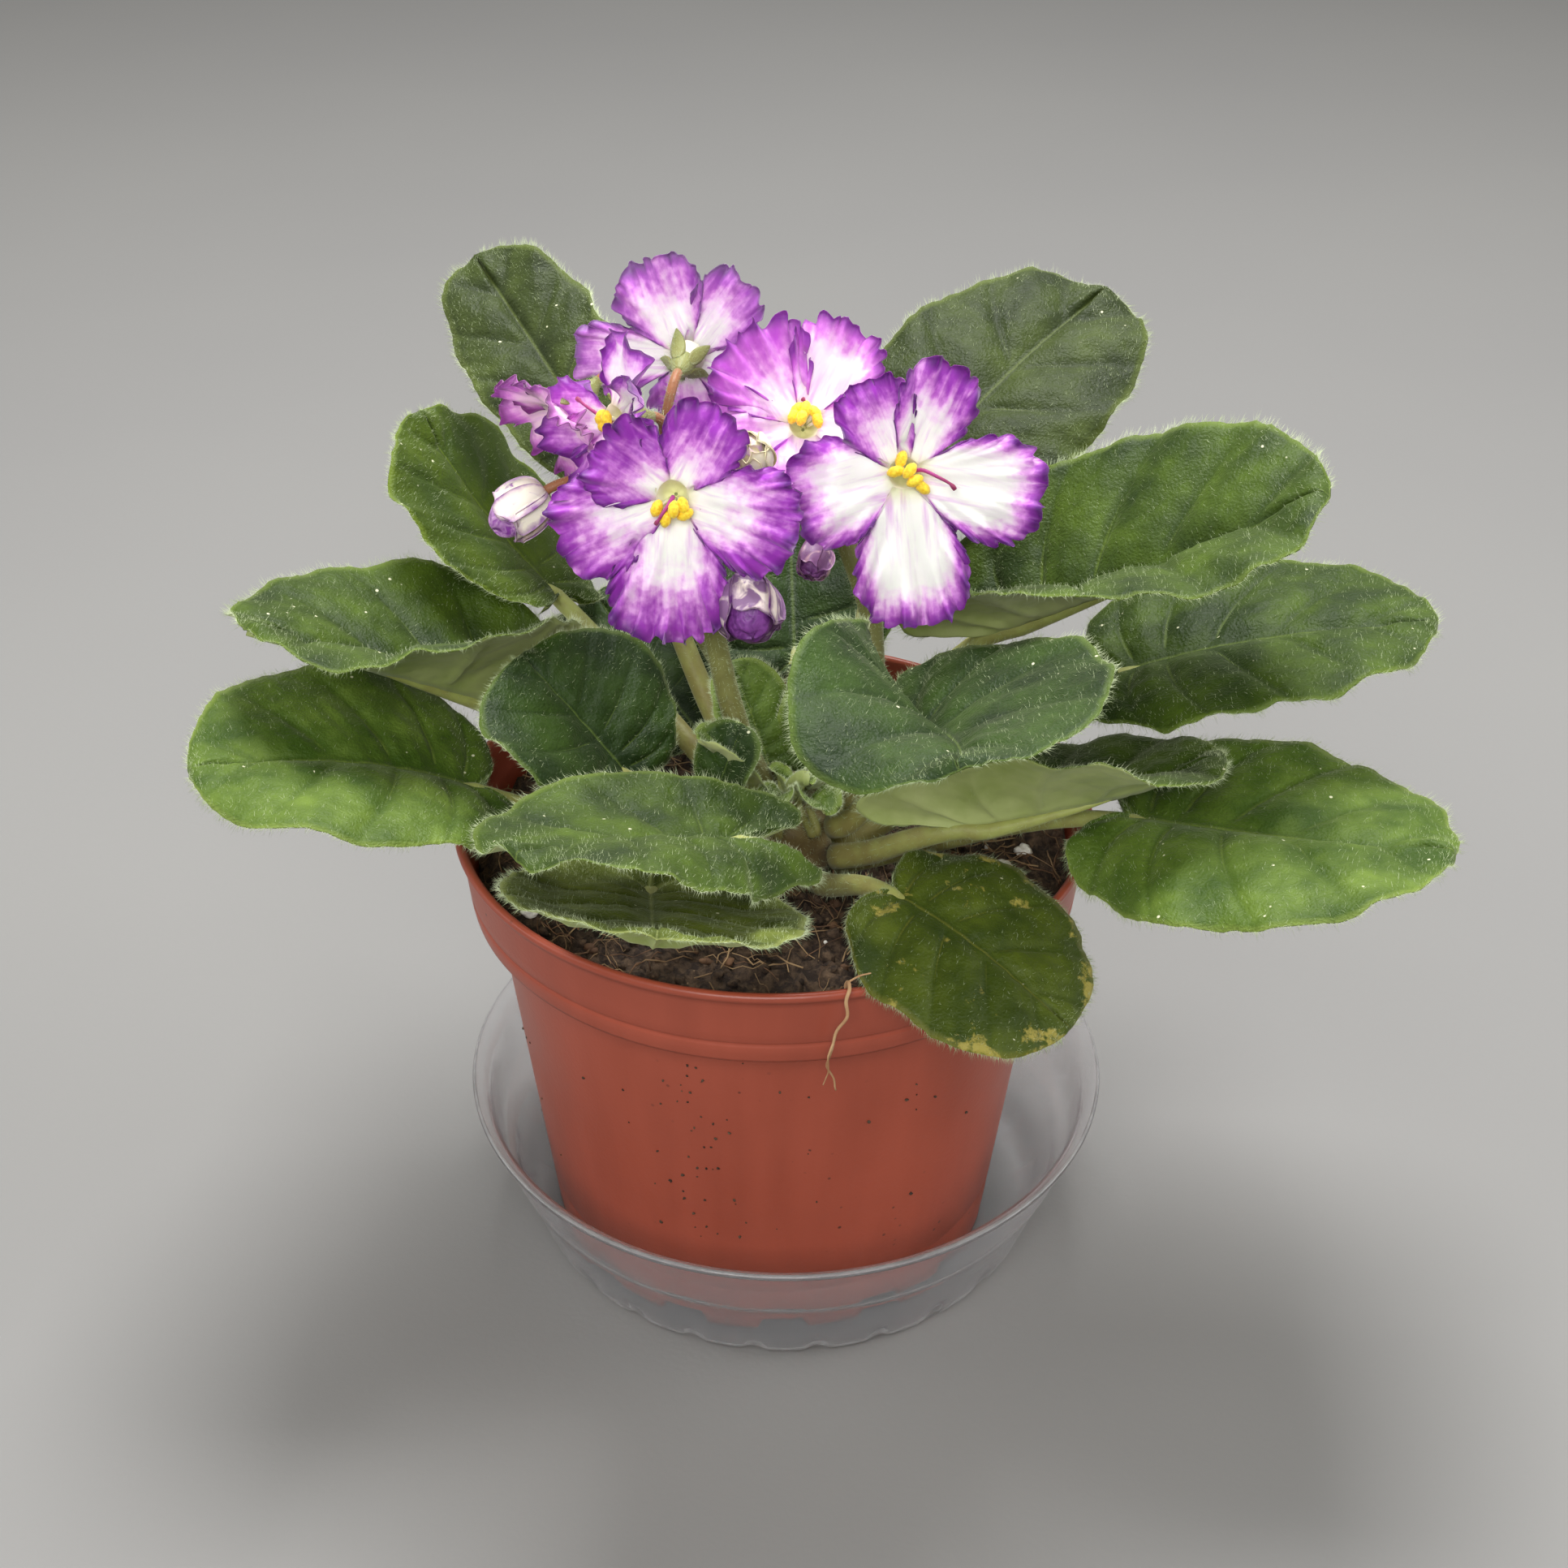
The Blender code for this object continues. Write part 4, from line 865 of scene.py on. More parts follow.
def petal_surface(look, face):
    """Ruffled petal: thin watery tissue, satin, with a violet edge that breaks up into a white middle."""
    dark, band, wash, inside = PETAL_LOOKS[look]
    made, tree, place, rim, width, across, along = surface(
        "petal_%s_%s" % (look, face), ("rim", "band", "across", "along"), Roughness=0.5, IOR=1.38,
        Subsurface_Weight=0.45, Subsurface_Radius=(0.9, 0.7, 1.0), Subsurface_Scale=0.0015,
        Sheen_Weight=0.15, Sheen_Roughness=0.4)
    # streaks that run from the throat to the margin, about 1 mm apart
    drawn = add(tree, "Math", {0: along, 1: 0.14}, operation="MULTIPLY")
    lane = add(tree, "CombineXYZ", {0: across, 1: drawn})
    streak = add(tree, "TexNoise", {"Vector": lane, "Scale": 15.0, "Detail": 3.0, "Roughness": 0.5})
    mottle = add(tree, "TexNoise", {"Vector": place, "Scale": per_metre(1.6), "Detail": 3.0})
    wide = add(tree, "TexNoise", {"Vector": place, "Scale": per_metre(6.5), "Detail": 2.0})
    grain = add(tree, "Math", {0: streak, 1: mottle}, operation="ADD")
    rough = add(tree, "Math", {0: grain, 1: wide}, operation="ADD")
    rough = add(tree, "MapRange", {"Value": rough, 1: 1.1, 2: 1.9, 3: -0.42, 4: 0.42})
    share = add(tree, "Math", {0: rim, 1: width}, operation="DIVIDE")
    share = add(tree, "Math", {0: share, 1: rough}, operation="ADD")
    colour = linear(inside)
    for tone, low, high in ((wash, 0.5, 1.7), (band, 0.15, 1.15)):
        inner = add(tree, "MapRange", {"Value": share, 1: low, 2: high}, interpolation_type="SMOOTHSTEP")
        colour = add(tree, "Mix", {FACTOR: inner, UNDER: linear(tone), OVER: colour}, **COLOURS)
    # veins flushed with violet, strongest near the throat
    flush = add(tree, "MapRange", {"Value": streak, 1: 0.5, 2: 0.68})
    fade = add(tree, "MapRange", {"Value": along, 1: 0.12, 2: 0.8, 3: 0.8, 4: 0.0})
    flush = add(tree, "Math", {0: flush, 1: fade}, operation="MULTIPLY")
    edge = add(tree, "Math", {0: rough, 1: 0.5, 2: rim}, operation="MULTIPLY_ADD")
    coats = [(flush, (), "#D486E0"), (along, (0.10, 0.2, 0.75, 0.0), "#E3E2A6"),
             (edge, (0.1, 2.0, 0.95, 0.0), dark)]
    if face == "back":
        # the back of a petal is paler and flatter, with its colour showing through
        coats.append((0.12, (), "#E0B0E2"))
    return finish_surface(made, colour, coats, grain, 0.09)


def throat_surface():
    """Throat of the flower: pale yellow-green, waxy and a little glossy."""
    made, tree, place, along = surface("throat_tissue", ("along",), Roughness=0.4, IOR=1.4)
    cloud = add(tree, "TexNoise", {"Vector": place, "Scale": per_metre(1.5), "Detail": 3.0})
    share = add(tree, "Math", {0: cloud, 1: 0.4, 2: along}, operation="MULTIPLY_ADD", use_clamp=True)
    return finish_surface(made, linear("#D6D888"), [(share, (), "#FBF6E2")], cloud, 0.1)


def build_corolla(flower, skins):
    flesh = Tissue(*skins[flower.look], skins["throat"])
    for number in range(5):
        middle, values = flower.petal(number)
        normals = grid_normals(middle)
        if (normals[PETAL_ROWS // 2, PETAL_SPOKES // 2] @ flower.axis) < 0:
            normals = -normals
        half = PETAL_THICK / 2 * (1 - 0.6 * np.linspace(0, 1, PETAL_ROWS + 1)[:, None, None] ** 4)
        front = flesh.grid(middle + normals * half, FRONT, flip=True, **values)
        back = flesh.grid(middle - normals * half, BACK, **values)
        for line, other in ((back[-1], front[-1]), (front[:, 0], back[:, 0]), (back[:, -1], front[:, -1])):
            flesh.band(line, other, FRONT)
    around = np.linspace(0, 2 * math.pi, 28, endpoint=False)
    profile = ((2.9, 0.25), (2.5, -0.5), (2.0, -1.8), (1.3, -2.8), (0.3, -3.0))
    rows = [flower.place(r * np.sin(around), r * np.cos(around), h + 0.12 * np.sin(5 * around))
            for r, h in profile]
    depths = np.array((0.9, 0.6, 0.3, 0.1, 0.0))[:, None]
    flesh.grid(np.stack(rows), THROAT, wrap=True, flip=True, along=depths)
    outer = [flower.place((r + 0.35) * np.sin(around), (r + 0.35) * np.cos(around), h - 0.3 + 0 * around)
             for r, h in profile]
    flesh.grid(np.stack(outer), THROAT, wrap=True, along=0.9)
    return flesh.piece("corolla_" + flower.name, ["corolla_" + flower.name],
                       merge=0.004)


# anther lobes of a flower: across, above and forward of its throat, and the bearing of the lobe
ANTHERS = {
    "front_right": ((-0.7, 2.4, 1.6, 20), (-1.7, 0.4, 2.2, 75), (0.6, 0.5, 3.0, 40), (1.5, -1.2, 3.0, 65),
                    (2.8, -2.3, 2.4, 130)),
    "front_left": ((-2.3, -2.0, 2.2, 20), (0.8, -1.9, 3.2, 5), (2.3, -1.2, 2.6, -20), (-0.6, -3.6, 2.6, 10),
                   (2.6, -2.7, 2.2, 60)),
    "middle_back": ((-2.0, 1.0, 2.0, 30), (-1.2, 2.4, 1.8, 50), (0.3, 2.2, 2.4, 5), (1.9, 1.6, 2.0, -40),
                    (2.3, 0.1, 2.2, -10), (-0.6, 0.4, 2.8, 20)),
    "behind_left": ((-0.9, 0.6, 2.6, 20), (0.8, 0.8, 2.8, -20), (0.1, -0.8, 2.4, 80)),
}
# style of a flower: points across, above and forward of its throat
STYLES = {
    "front_right": ((0.5, 0.0, 1.0), (2.6, 0.9, 3.2), (5.4, -0.6, 4.0), (8.0, -1.9, 4.2), (8.3, -2.7, 4.0)),
    "front_left": ((0.2, 0.0, 1.0), (-0.4, -1.6, 3.4), (-1.1, -2.8, 4.0), (-2.2, -4.6, 3.4)),
    "middle_back": ((0.2, 1.0, 1.0), (0.3, 2.4, 2.4), (0.2, 3.6, 3.0), (-0.3, 4.1, 2.8)),
    "behind_left": ((0.2, 0.0, 1.0), (-1.6, 0.9, 3.0), (-4.4, 2.0, 4.2), (-6.0, 2.6, 4.4)),
}


def pollen_surface():
    """Ripe anthers: powdery bright yellow, darker in blotches."""
    made, tree, place = surface("anther_pollen", Roughness=0.6, Sheen_Weight=0.2)
    grain = add(tree, "TexNoise", {"Vector": place, "Scale": per_metre(0.5), "Detail": 3.0})
    return finish_surface(made, linear("#EDB90F"), [(grain, (0.35, 0.65), "#FFE335")], grain, 0.15)


def build_anthers(flower, pollen, style, throat):
    flesh = Tissue(pollen, style, throat)
    bulge = np.array((0.35, 0.75, 1.0, 0.95, 1.0, 0.8, 0.4))
    for across, above, forward, bearing in ANTHERS[flower.name]:
        lean = math.radians(bearing)
        ahead = flower.right * math.sin(lean) + flower.up * math.cos(lean)
        middle = flower.centre + flower.right * across + flower.up * above + flower.axis * forward
        t = np.linspace(-1, 1, 7)[:, None]
        path = middle + ahead * t * 1.45 + flower.axis * (0.35 * (1 - t * t))
        flesh.tube(path, bulge, 12, 0)
        root = flower.centre + flower.right * across * 0.3 + flower.up * above * 0.3 - flower.axis * 1.5
        flesh.tube(bezier(root, root + flower.axis * 1.5, middle - flower.axis, middle, 6), 0.3, 6, 2)
    points = np.array(STYLES[flower.name], float)
    path = (flower.centre + flower.right * points[:, :1] + flower.up * points[:, 1:2]
            + flower.axis * points[:, 2:])
    path = rounded(evenly(path, 14), 3)
    flesh.tube(path, np.r_[np.linspace(0.42, 0.26, 13), 0.45, 0.4], 8, 1)
    flesh.piece("anthers_" + flower.name, ["anthers_" + flower.name])


# ---------------------------------------------------------------- stalks and buds

PEDUNCLE_FOOT_Z = CROWN_TOP + GAP
PEDUNCLE_LEFT = [(-1.2, -13.6, PEDUNCLE_FOOT_Z), (-1.2, -13.6, 106.4), (-5.4, -11.6, 115), (-8.4, -9, 125),
                 (-11, -7.5, 138), (-13, -4, 148), (-13, -4, 150)]
PEDUNCLE_RIGHT = [(6.6, -12.4, PEDUNCLE_FOOT_Z), (6.8, -12.2, 107), (13, -3.4, 112.4), (18.6, 6, 118),
                  (18, 10, 130), (15, 11, 139), (12, 14, 146), (12, 14, 148)]
PEDUNCLE_BACK = [(1.6, -7.9, PEDUNCLE_FOOT_Z), (1.6, -7.9, 106.4), (-5, 1, 115), (-14, 9, 128),
                 (-20, 13, 140), (-22, 15, 147), (-22, 15, 149)]
PEDUNCLES = {"peduncle_left": (PEDUNCLE_LEFT, 2.3), "peduncle_right": (PEDUNCLE_RIGHT, 2.4),
             "peduncle_back": (PEDUNCLE_BACK, 2.0)}
PEDICEL_STARTS = {
    "front_right": (PEDUNCLE_RIGHT, -50),
    "middle_back": (PEDUNCLE_RIGHT, 90),
    "front_left": (PEDUNCLE_LEFT, 200),
    "top_back": (PEDUNCLE_BACK, 60),
    "behind_left": (PEDUNCLE_BACK, -60),
    "fading_left": (PEDUNCLE_BACK, 140),
}
# name, peduncle, bearing on its top, centre, heading, rise, radius, stretch, how far open, look
BUDS = [
    ("bud_round", PEDUNCLE_LEFT, -60, (-4.4, -17, 146), -80, -32, 5.4, 1.12, 0.6, "round"),
    ("bud_cream", PEDUNCLE_LEFT, 60, (-4.4, 1, 166), -90, 50, 4.2, 1.2, 0.1, "cream"),
    ("bud_small", PEDUNCLE_RIGHT, 200, (7, -2, 147.6), -100, -20, 3.1, 1.1, 0.2, "small"),
    ("bud_half_open", PEDUNCLE_BACK, 220, (-45.4, 5, 153.6), 200, -30, 4.6, 1.3, 0.8, "half_open"),
]
# outer petals, their edges, petals inside, how much violet blushes the outer petals
BUD_LOOKS = {
    "round": ("#E6D6CC", "#5E2470", "#7E3C90", 0.7),
    "cream": ("#F6F1D2", "#DCD2A2", "#C9A0C8", 0.08),
    "small": ("#B9969A", "#62306C", "#824C86", 0.65),
    "half_open": ("#F6ECD8", "#84389A", "#CC9CD0", 0.12),
}


def stalk_foot(peduncle, bearing):
    angle = math.radians(bearing)
    return np.array(peduncle[-1]) + (math.cos(angle) * STALK_RING, math.sin(angle) * STALK_RING, GAP)


def stalk_path(start, end, facing):
    span = np.linalg.norm(end - start)
    lift = np.array((0.0, 0.0, 1.0))
    curve = bezier(start + lift, start + lift * span * 0.35, end - facing * span * 0.35, end, 16)
    return np.concatenate([[start], curve])


def clothe(flesh, walls, ring, down, hair, seed):
    """Down all over a stem, as a number of hairs and their lengths."""
    count, lengths = down
    rng = np.random.default_rng(SEED + seed)
    row = rng.integers(1, len(walls) - 1, count)
    column = rng.integers(0, walls.shape[1], count)
    part = rng.uniform(size=(count, 1))
    roots = walls[row, column] * (1 - part) + walls[row - 1, column] * part
    flesh.hairs(roots, ring[row, column], rng.uniform(*lengths, count), hair, width=0.03, bend=0.3,
                seed=seed)


def add_sepals(flesh, middle, facing, radius, length, flare, skin, hair, seed):
    """Five narrow downy sepals round a flower's or bud's base, each a small pointed leaf."""
    side = unit(np.cross(facing, (0.3, 0.2, 1.0)))
    other = np.cross(facing, side)
    rng = np.random.default_rng(SEED + seed)
    for number in range(5):
        turn = 2 * math.pi * (number + rng.uniform(-0.12, 0.12)) / 5 + 0.4
        out = side * math.cos(turn) + other * math.sin(turn)
        level = np.cross(facing, out)
        s = np.linspace(0, 1, 14)[:, None]
        t = np.linspace(-1, 1, 7)[None, :]
        reach = length * rng.uniform(0.85, 1.1)
        bend = flare * (0.35 + 0.65 * s) * s
        wide = 0.19 * reach * np.sin(math.pi * np.clip(s, 0.0, 1) ** 0.75 * 0.93 + 0.2) ** 0.8
        middle_line = (middle + out * (radius * (1 + 0.25 * np.sin(math.pi * s)) + reach * bend)
                       + facing * reach * s * (1 - 0.45 * flare * s))
        points = (middle_line[:, None] + level * (wide * t)[..., None]
                  - out * (0.25 * wide * t * t)[..., None])
        normals = grid_normals(points)
        if (normals[5, 3] @ out) < 0:
            normals = -normals
        along = s * 0.5 + 0.25 + 0 * t
        outer = flesh.grid(points + normals * 0.18, skin, flip=True, along=along)
        inner = flesh.grid(points - normals * 0.18, skin, along=along)
        flesh.band(outer[:, 0], inner[:, 0], surface=skin)
        flesh.band(inner[:, -1], outer[:, -1], surface=skin)
        flesh.band(inner[-1], outer[-1], surface=skin)
        count, lengths = SEPAL_DOWN
        row = rng.integers(0, 13, count)
        column = rng.integers(0, 7, count)
        flesh.hairs(points[row, column] + normals[row, column] * 0.15, normals[row, column],
                    rng.uniform(*lengths, count), hair, width=0.03, bend=0.5, seed=seed + number)


def build_stalks(stem, red_stem, sepal, down):
    for number, (name, (points, radius)) in enumerate(PEDUNCLES.items()):
        flesh = Tissue(stem, down)
        path = rounded(evenly(np.array(points, float), 48), 4)
        run = np.linspace(0, 1, len(path))
        radii = radius * np.interp(run, (0, 0.4, 0.93, 0.98, 1), (1, 0.92, 0.78, 0.95, 0.9))
        walls, ring = flesh.tube(path, radii, 18, 0)
        clothe(flesh, walls, ring, PEDUNCLE_DOWN, 1, 700 + number)
        flesh.piece(name, [name])
    for number, flower in enumerate(FLOWERS):
        flesh = Tissue(red_stem, sepal, down)
        peduncle, bearing = PEDICEL_STARTS[flower.name]
        low = flower.centre - flower.axis * (THROAT_DEPTH + CALYX_LENGTH)
        path = evenly(stalk_path(stalk_foot(peduncle, bearing), low, flower.axis), 26)
        walls, ring = flesh.tube(path, PEDICEL_R, 12, 0)
        clothe(flesh, walls, ring, PEDICEL_DOWN, 2, 720 + number)
        cup = [low + flower.axis * step for step in (-0.5, 0.4, 1.6, 3.0, 4.2, 4.7)]
        walls, ring = flesh.tube(np.array(cup), (0.9, 1.1, 1.7, 2.2, 2.4, 2.3), 20, 1)
        clothe(flesh, walls, ring, CALYX_DOWN, 2, 740 + number)
        add_sepals(flesh, low + flower.axis * 2.4, flower.axis, 1.9, 7.5, 0.45, 1, 2, 760 + 10 * number)
        flesh.piece("pedicel_" + flower.name, ["pedicel_" + flower.name])


def bud_petal_surface(look):
    """Closed petals of a bud: firm waxy tissue, darkening to its rolled edges."""
    outer, edge, _, blush = BUD_LOOKS[look]
    made, tree, place, rim = surface(
        "bud_petal_" + look, ("rim",), Roughness=0.48, IOR=1.4, Subsurface_Weight=0.2,
        Subsurface_Radius=(0.9, 0.7, 0.5), Subsurface_Scale=0.001)
    cloud = add(tree, "TexNoise", {"Vector": place, "Scale": per_metre(2.2), "Detail": 3.0})
    rough = add(tree, "Math", {0: cloud, 1: 3.0, 2: rim}, operation="MULTIPLY_ADD")
    share = add(tree, "MapRange", {"Value": rough, 1: 1.0, 2: 3.0, 3: 1.0, 4: 0.0})
    wide = add(tree, "TexNoise", {"Vector": place, "Scale": per_metre(3.6), "Detail": 3.0, "Distortion": 0.8})
    low = 0.66 - 0.4 * blush
    high = 0.78 - 0.4 * blush
    wide = add(tree, "MapRange", {"Value": wide, 1: low, 2: high, 3: 0.0, 4: 0.85})
    share = add(tree, "Math", {0: share, 1: wide}, operation="MAXIMUM")
    return finish_surface(made, linear(outer), [(share, (), edge)], cloud, 0.15)


def bud_inside_surface(look):
    """Rolled inner petals of a bud: satin violet with pale folds."""
    _, edge, inner, _ = BUD_LOOKS[look]
    made, tree, place = surface("bud_inside_" + look, Roughness=0.5)
    fold = add(tree, "TexNoise", {"Vector": place, "Scale": per_metre(1.6), "Detail": 3.0, "Distortion": 1.2})
    return finish_surface(made, linear(edge), [(fold, (0.35, 0.65), inner)], fold, 0.3)


def build_bud(spec, stem, sepal, down, seed):
    """A bud: overlapping outer petals rolled round the inner ones, on its short pedicel."""
    name, peduncle, bearing, centre, heading, rise, radius, stretch, opening, look = spec
    flesh = Tissue(bud_petal_surface(look), bud_inside_surface(look), stem, sepal, down)
    centre = np.array(centre, float)
    facing = heading_vector(heading, rise)
    side = unit(np.cross(facing, (0.2, 0.1, 1.0)))
    other = np.cross(facing, side)
    reach = radius * stretch
    path = evenly(stalk_path(stalk_foot(peduncle, bearing), centre - facing * (reach - 0.3), facing), 20)
    walls, ring = flesh.tube(path, PEDICEL_R, 12, 2)
    clothe(flesh, walls, ring, BUD_STALK_DOWN, 4, seed + 1)
    stations = np.linspace(0, 1, 19)
    for order, (turn, wide) in enumerate(((0.3, 64), (2.35, 62), (4.3, 62), (1.35, 50), (3.4, 50))):
        t = np.linspace(-1, 1, 21)[None, :]
        s = stations[:, None] * (0.9 - 0.30 * opening + 0.06 * np.cos(3 * t + order)) * (1 - 0.16 * t ** 4)
        around = turn + math.radians(wide) * t + 0.3 * s
        depth = -np.cos(math.pi * s)
        belly = np.sin(math.pi * np.clip(s, 0.0, 1)) ** 0.72
        rim = np.minimum((1 - stations[:, None]) * math.pi * radius * 0.8, (1 - np.abs(t)) * radius * 1.2)
        lip = np.exp(-rim / 0.8)
        out = (radius * belly * (1.0 + 0.02 * order) - 0.35 + 0.28 * np.abs(t) ** 3
               + lip * (0.5 * opening + 0.25) * (1 + 0.5 * np.sin(9 * t + 2 * order)))
        points = (centre + facing * (reach * depth)[..., None]
                  + side * (out * np.cos(around))[..., None] + other * (out * np.sin(around))[..., None])
        normals = grid_normals(points)
        outward = points - centre
        sign = np.sign((normals * outward).sum(axis=-1, keepdims=True)[12, 14])
        normals = normals * sign
        outer = flesh.grid(points + normals * 0.12, 0, flip=sign[0] > 0, rim=rim)
        inner = flesh.grid(points - normals * 0.12, 0, flip=sign[0] < 0, rim=rim)
        flesh.band(outer[-1], inner[-1], surface=0)
        flesh.band(outer[:, 0], inner[:, 0], surface=0)
        flesh.band(inner[:, -1], outer[:, -1], surface=0)
    u = np.linspace(0, 2 * math.pi, 40, endpoint=False)[None, :]
    v = np.linspace(0.02, 0.995, 26)[:, None]
    core = radius * 0.84 * np.sin(math.pi * v) ** 0.75 * (1 + 0.10 * np.sin(3 * u + 9 * v) * v)
    depth = -np.cos(math.pi * v) * reach * (0.9 + 0.06 * np.sin(4 * u + 6 * v) * v)
    points = (centre + facing * depth[..., None] + side * (core * np.cos(u))[..., None]
              + other * (core * np.sin(u))[..., None])
    flesh.grid(points, 1, wrap=True)
    add_sepals(flesh, centre - facing * reach * 0.86, facing, radius * 0.42, radius * 1.5, 0.25, 3, 4,
               seed + 2)
    flesh.piece(name, [name])


def build_flowers(down):
    skins = {look: [petal_surface(look, face) for face in ("front", "back")] for look in PETAL_LOOKS}
    skins["throat"] = throat_surface()
    pollen = pollen_surface()
    style = stem_surface("style_tissue", "#B23A8E", "#8E2F57")
    stem = stem_surface("peduncle_skin", "#5E5A2C", "#7F8048")
    red_stem = stem_surface("pedicel_skin", "#74543A", "#96603F")
    sepal = stem_surface("sepal_skin", "#76733C", "#939A5A")
    for number, flower in enumerate(FLOWERS):
        flower.seed = 7 * (number + 1)
        build_corolla(flower, skins)
        if flower.name in ANTHERS:
            build_anthers(flower, pollen, style, skins["throat"])
    build_stalks(stem, red_stem, sepal, down)
    for number, spec in enumerate(BUDS):
        build_bud(spec, red_stem, sepal, down, 800 + 20 * number)


# ---------------------------------------------------------------- pot

POT_STEPS = 420
GROOVE_Z = 83.2
DRAIN_HOLES = 6
DRAIN_R = 3.5
DRAIN_RING = 26.0


def terracotta_plastic():
    """Injection-moulded polypropylene in terracotta: satin, faintly drawn down the wall, with peat specks."""
    made, tree, place = surface("moulded_polypropylene_terracotta", IOR=1.49)
    drawn = add(tree, "Mapping", {"Vector": place, "Scale": (1.0, 1.0, 0.06)})
    flow = add(tree, "TexNoise", {"Vector": drawn, "Scale": per_metre(7), "Detail": 4.0})
    cloud = add(tree, "TexNoise", {"Vector": place, "Scale": per_metre(38), "Detail": 3.0})
    share = add(tree, "Math", {0: flow, 1: cloud}, operation="ADD")
    # wet peat splashed on the wall: dark specks under 1 mm, in a few loose patches
    patch = add(tree, "TexNoise", {"Vector": place, "Scale": per_metre(34), "Detail": 3.0})
    patch = add(tree, "MapRange", {"Value": patch, 1: 0.50, 2: 0.66})
    speck = add(tree, "TexVoronoi", {"Vector": place, "Scale": per_metre(2.6), "Randomness": 1.0})
    speck = add(tree, "MapRange", {"Value": speck, 1: 0.10, 2: 0.17, 3: 0.9, 4: 0.0})
    pick = add(tree, "TexNoise", {"Vector": place, "Scale": per_metre(3.1), "Detail": 1.0})
    pick = add(tree, "MapRange", {"Value": pick, 1: 0.56, 2: 0.6})
    for gate in (patch, pick):
        speck = add(tree, "Math", {0: speck, 1: gate}, operation="MULTIPLY")
    # pale rubs where pots were stacked
    rub = add(tree, "TexNoise", {"Vector": place, "Scale": per_metre(5.5), "Detail": 6.0, "Roughness": 0.7})
    gloss = add(tree, "MapRange", {"Value": cloud, 1: 0.3, 2: 0.7, 3: 0.34, 4: 0.46})
    grain = add(tree, "TexNoise", {"Vector": place, "Scale": per_metre(0.9), "Detail": 2.0})
    coats = [(share, (0.7, 1.3), "#9E4934"), (speck, (), "#2E1A12"), (rub, (0.71, 0.8, 0.0, 0.45), "#D59C84")]
    return finish_surface(made, linear("#90402C"), coats, grain, 0.035, Roughness=gloss)


def wall_radius(z):
    return FOOT_R + (BODY_TOP_R - FOOT_R) * (z - FOOT_Z) / (COLLAR_Z - FOOT_Z)


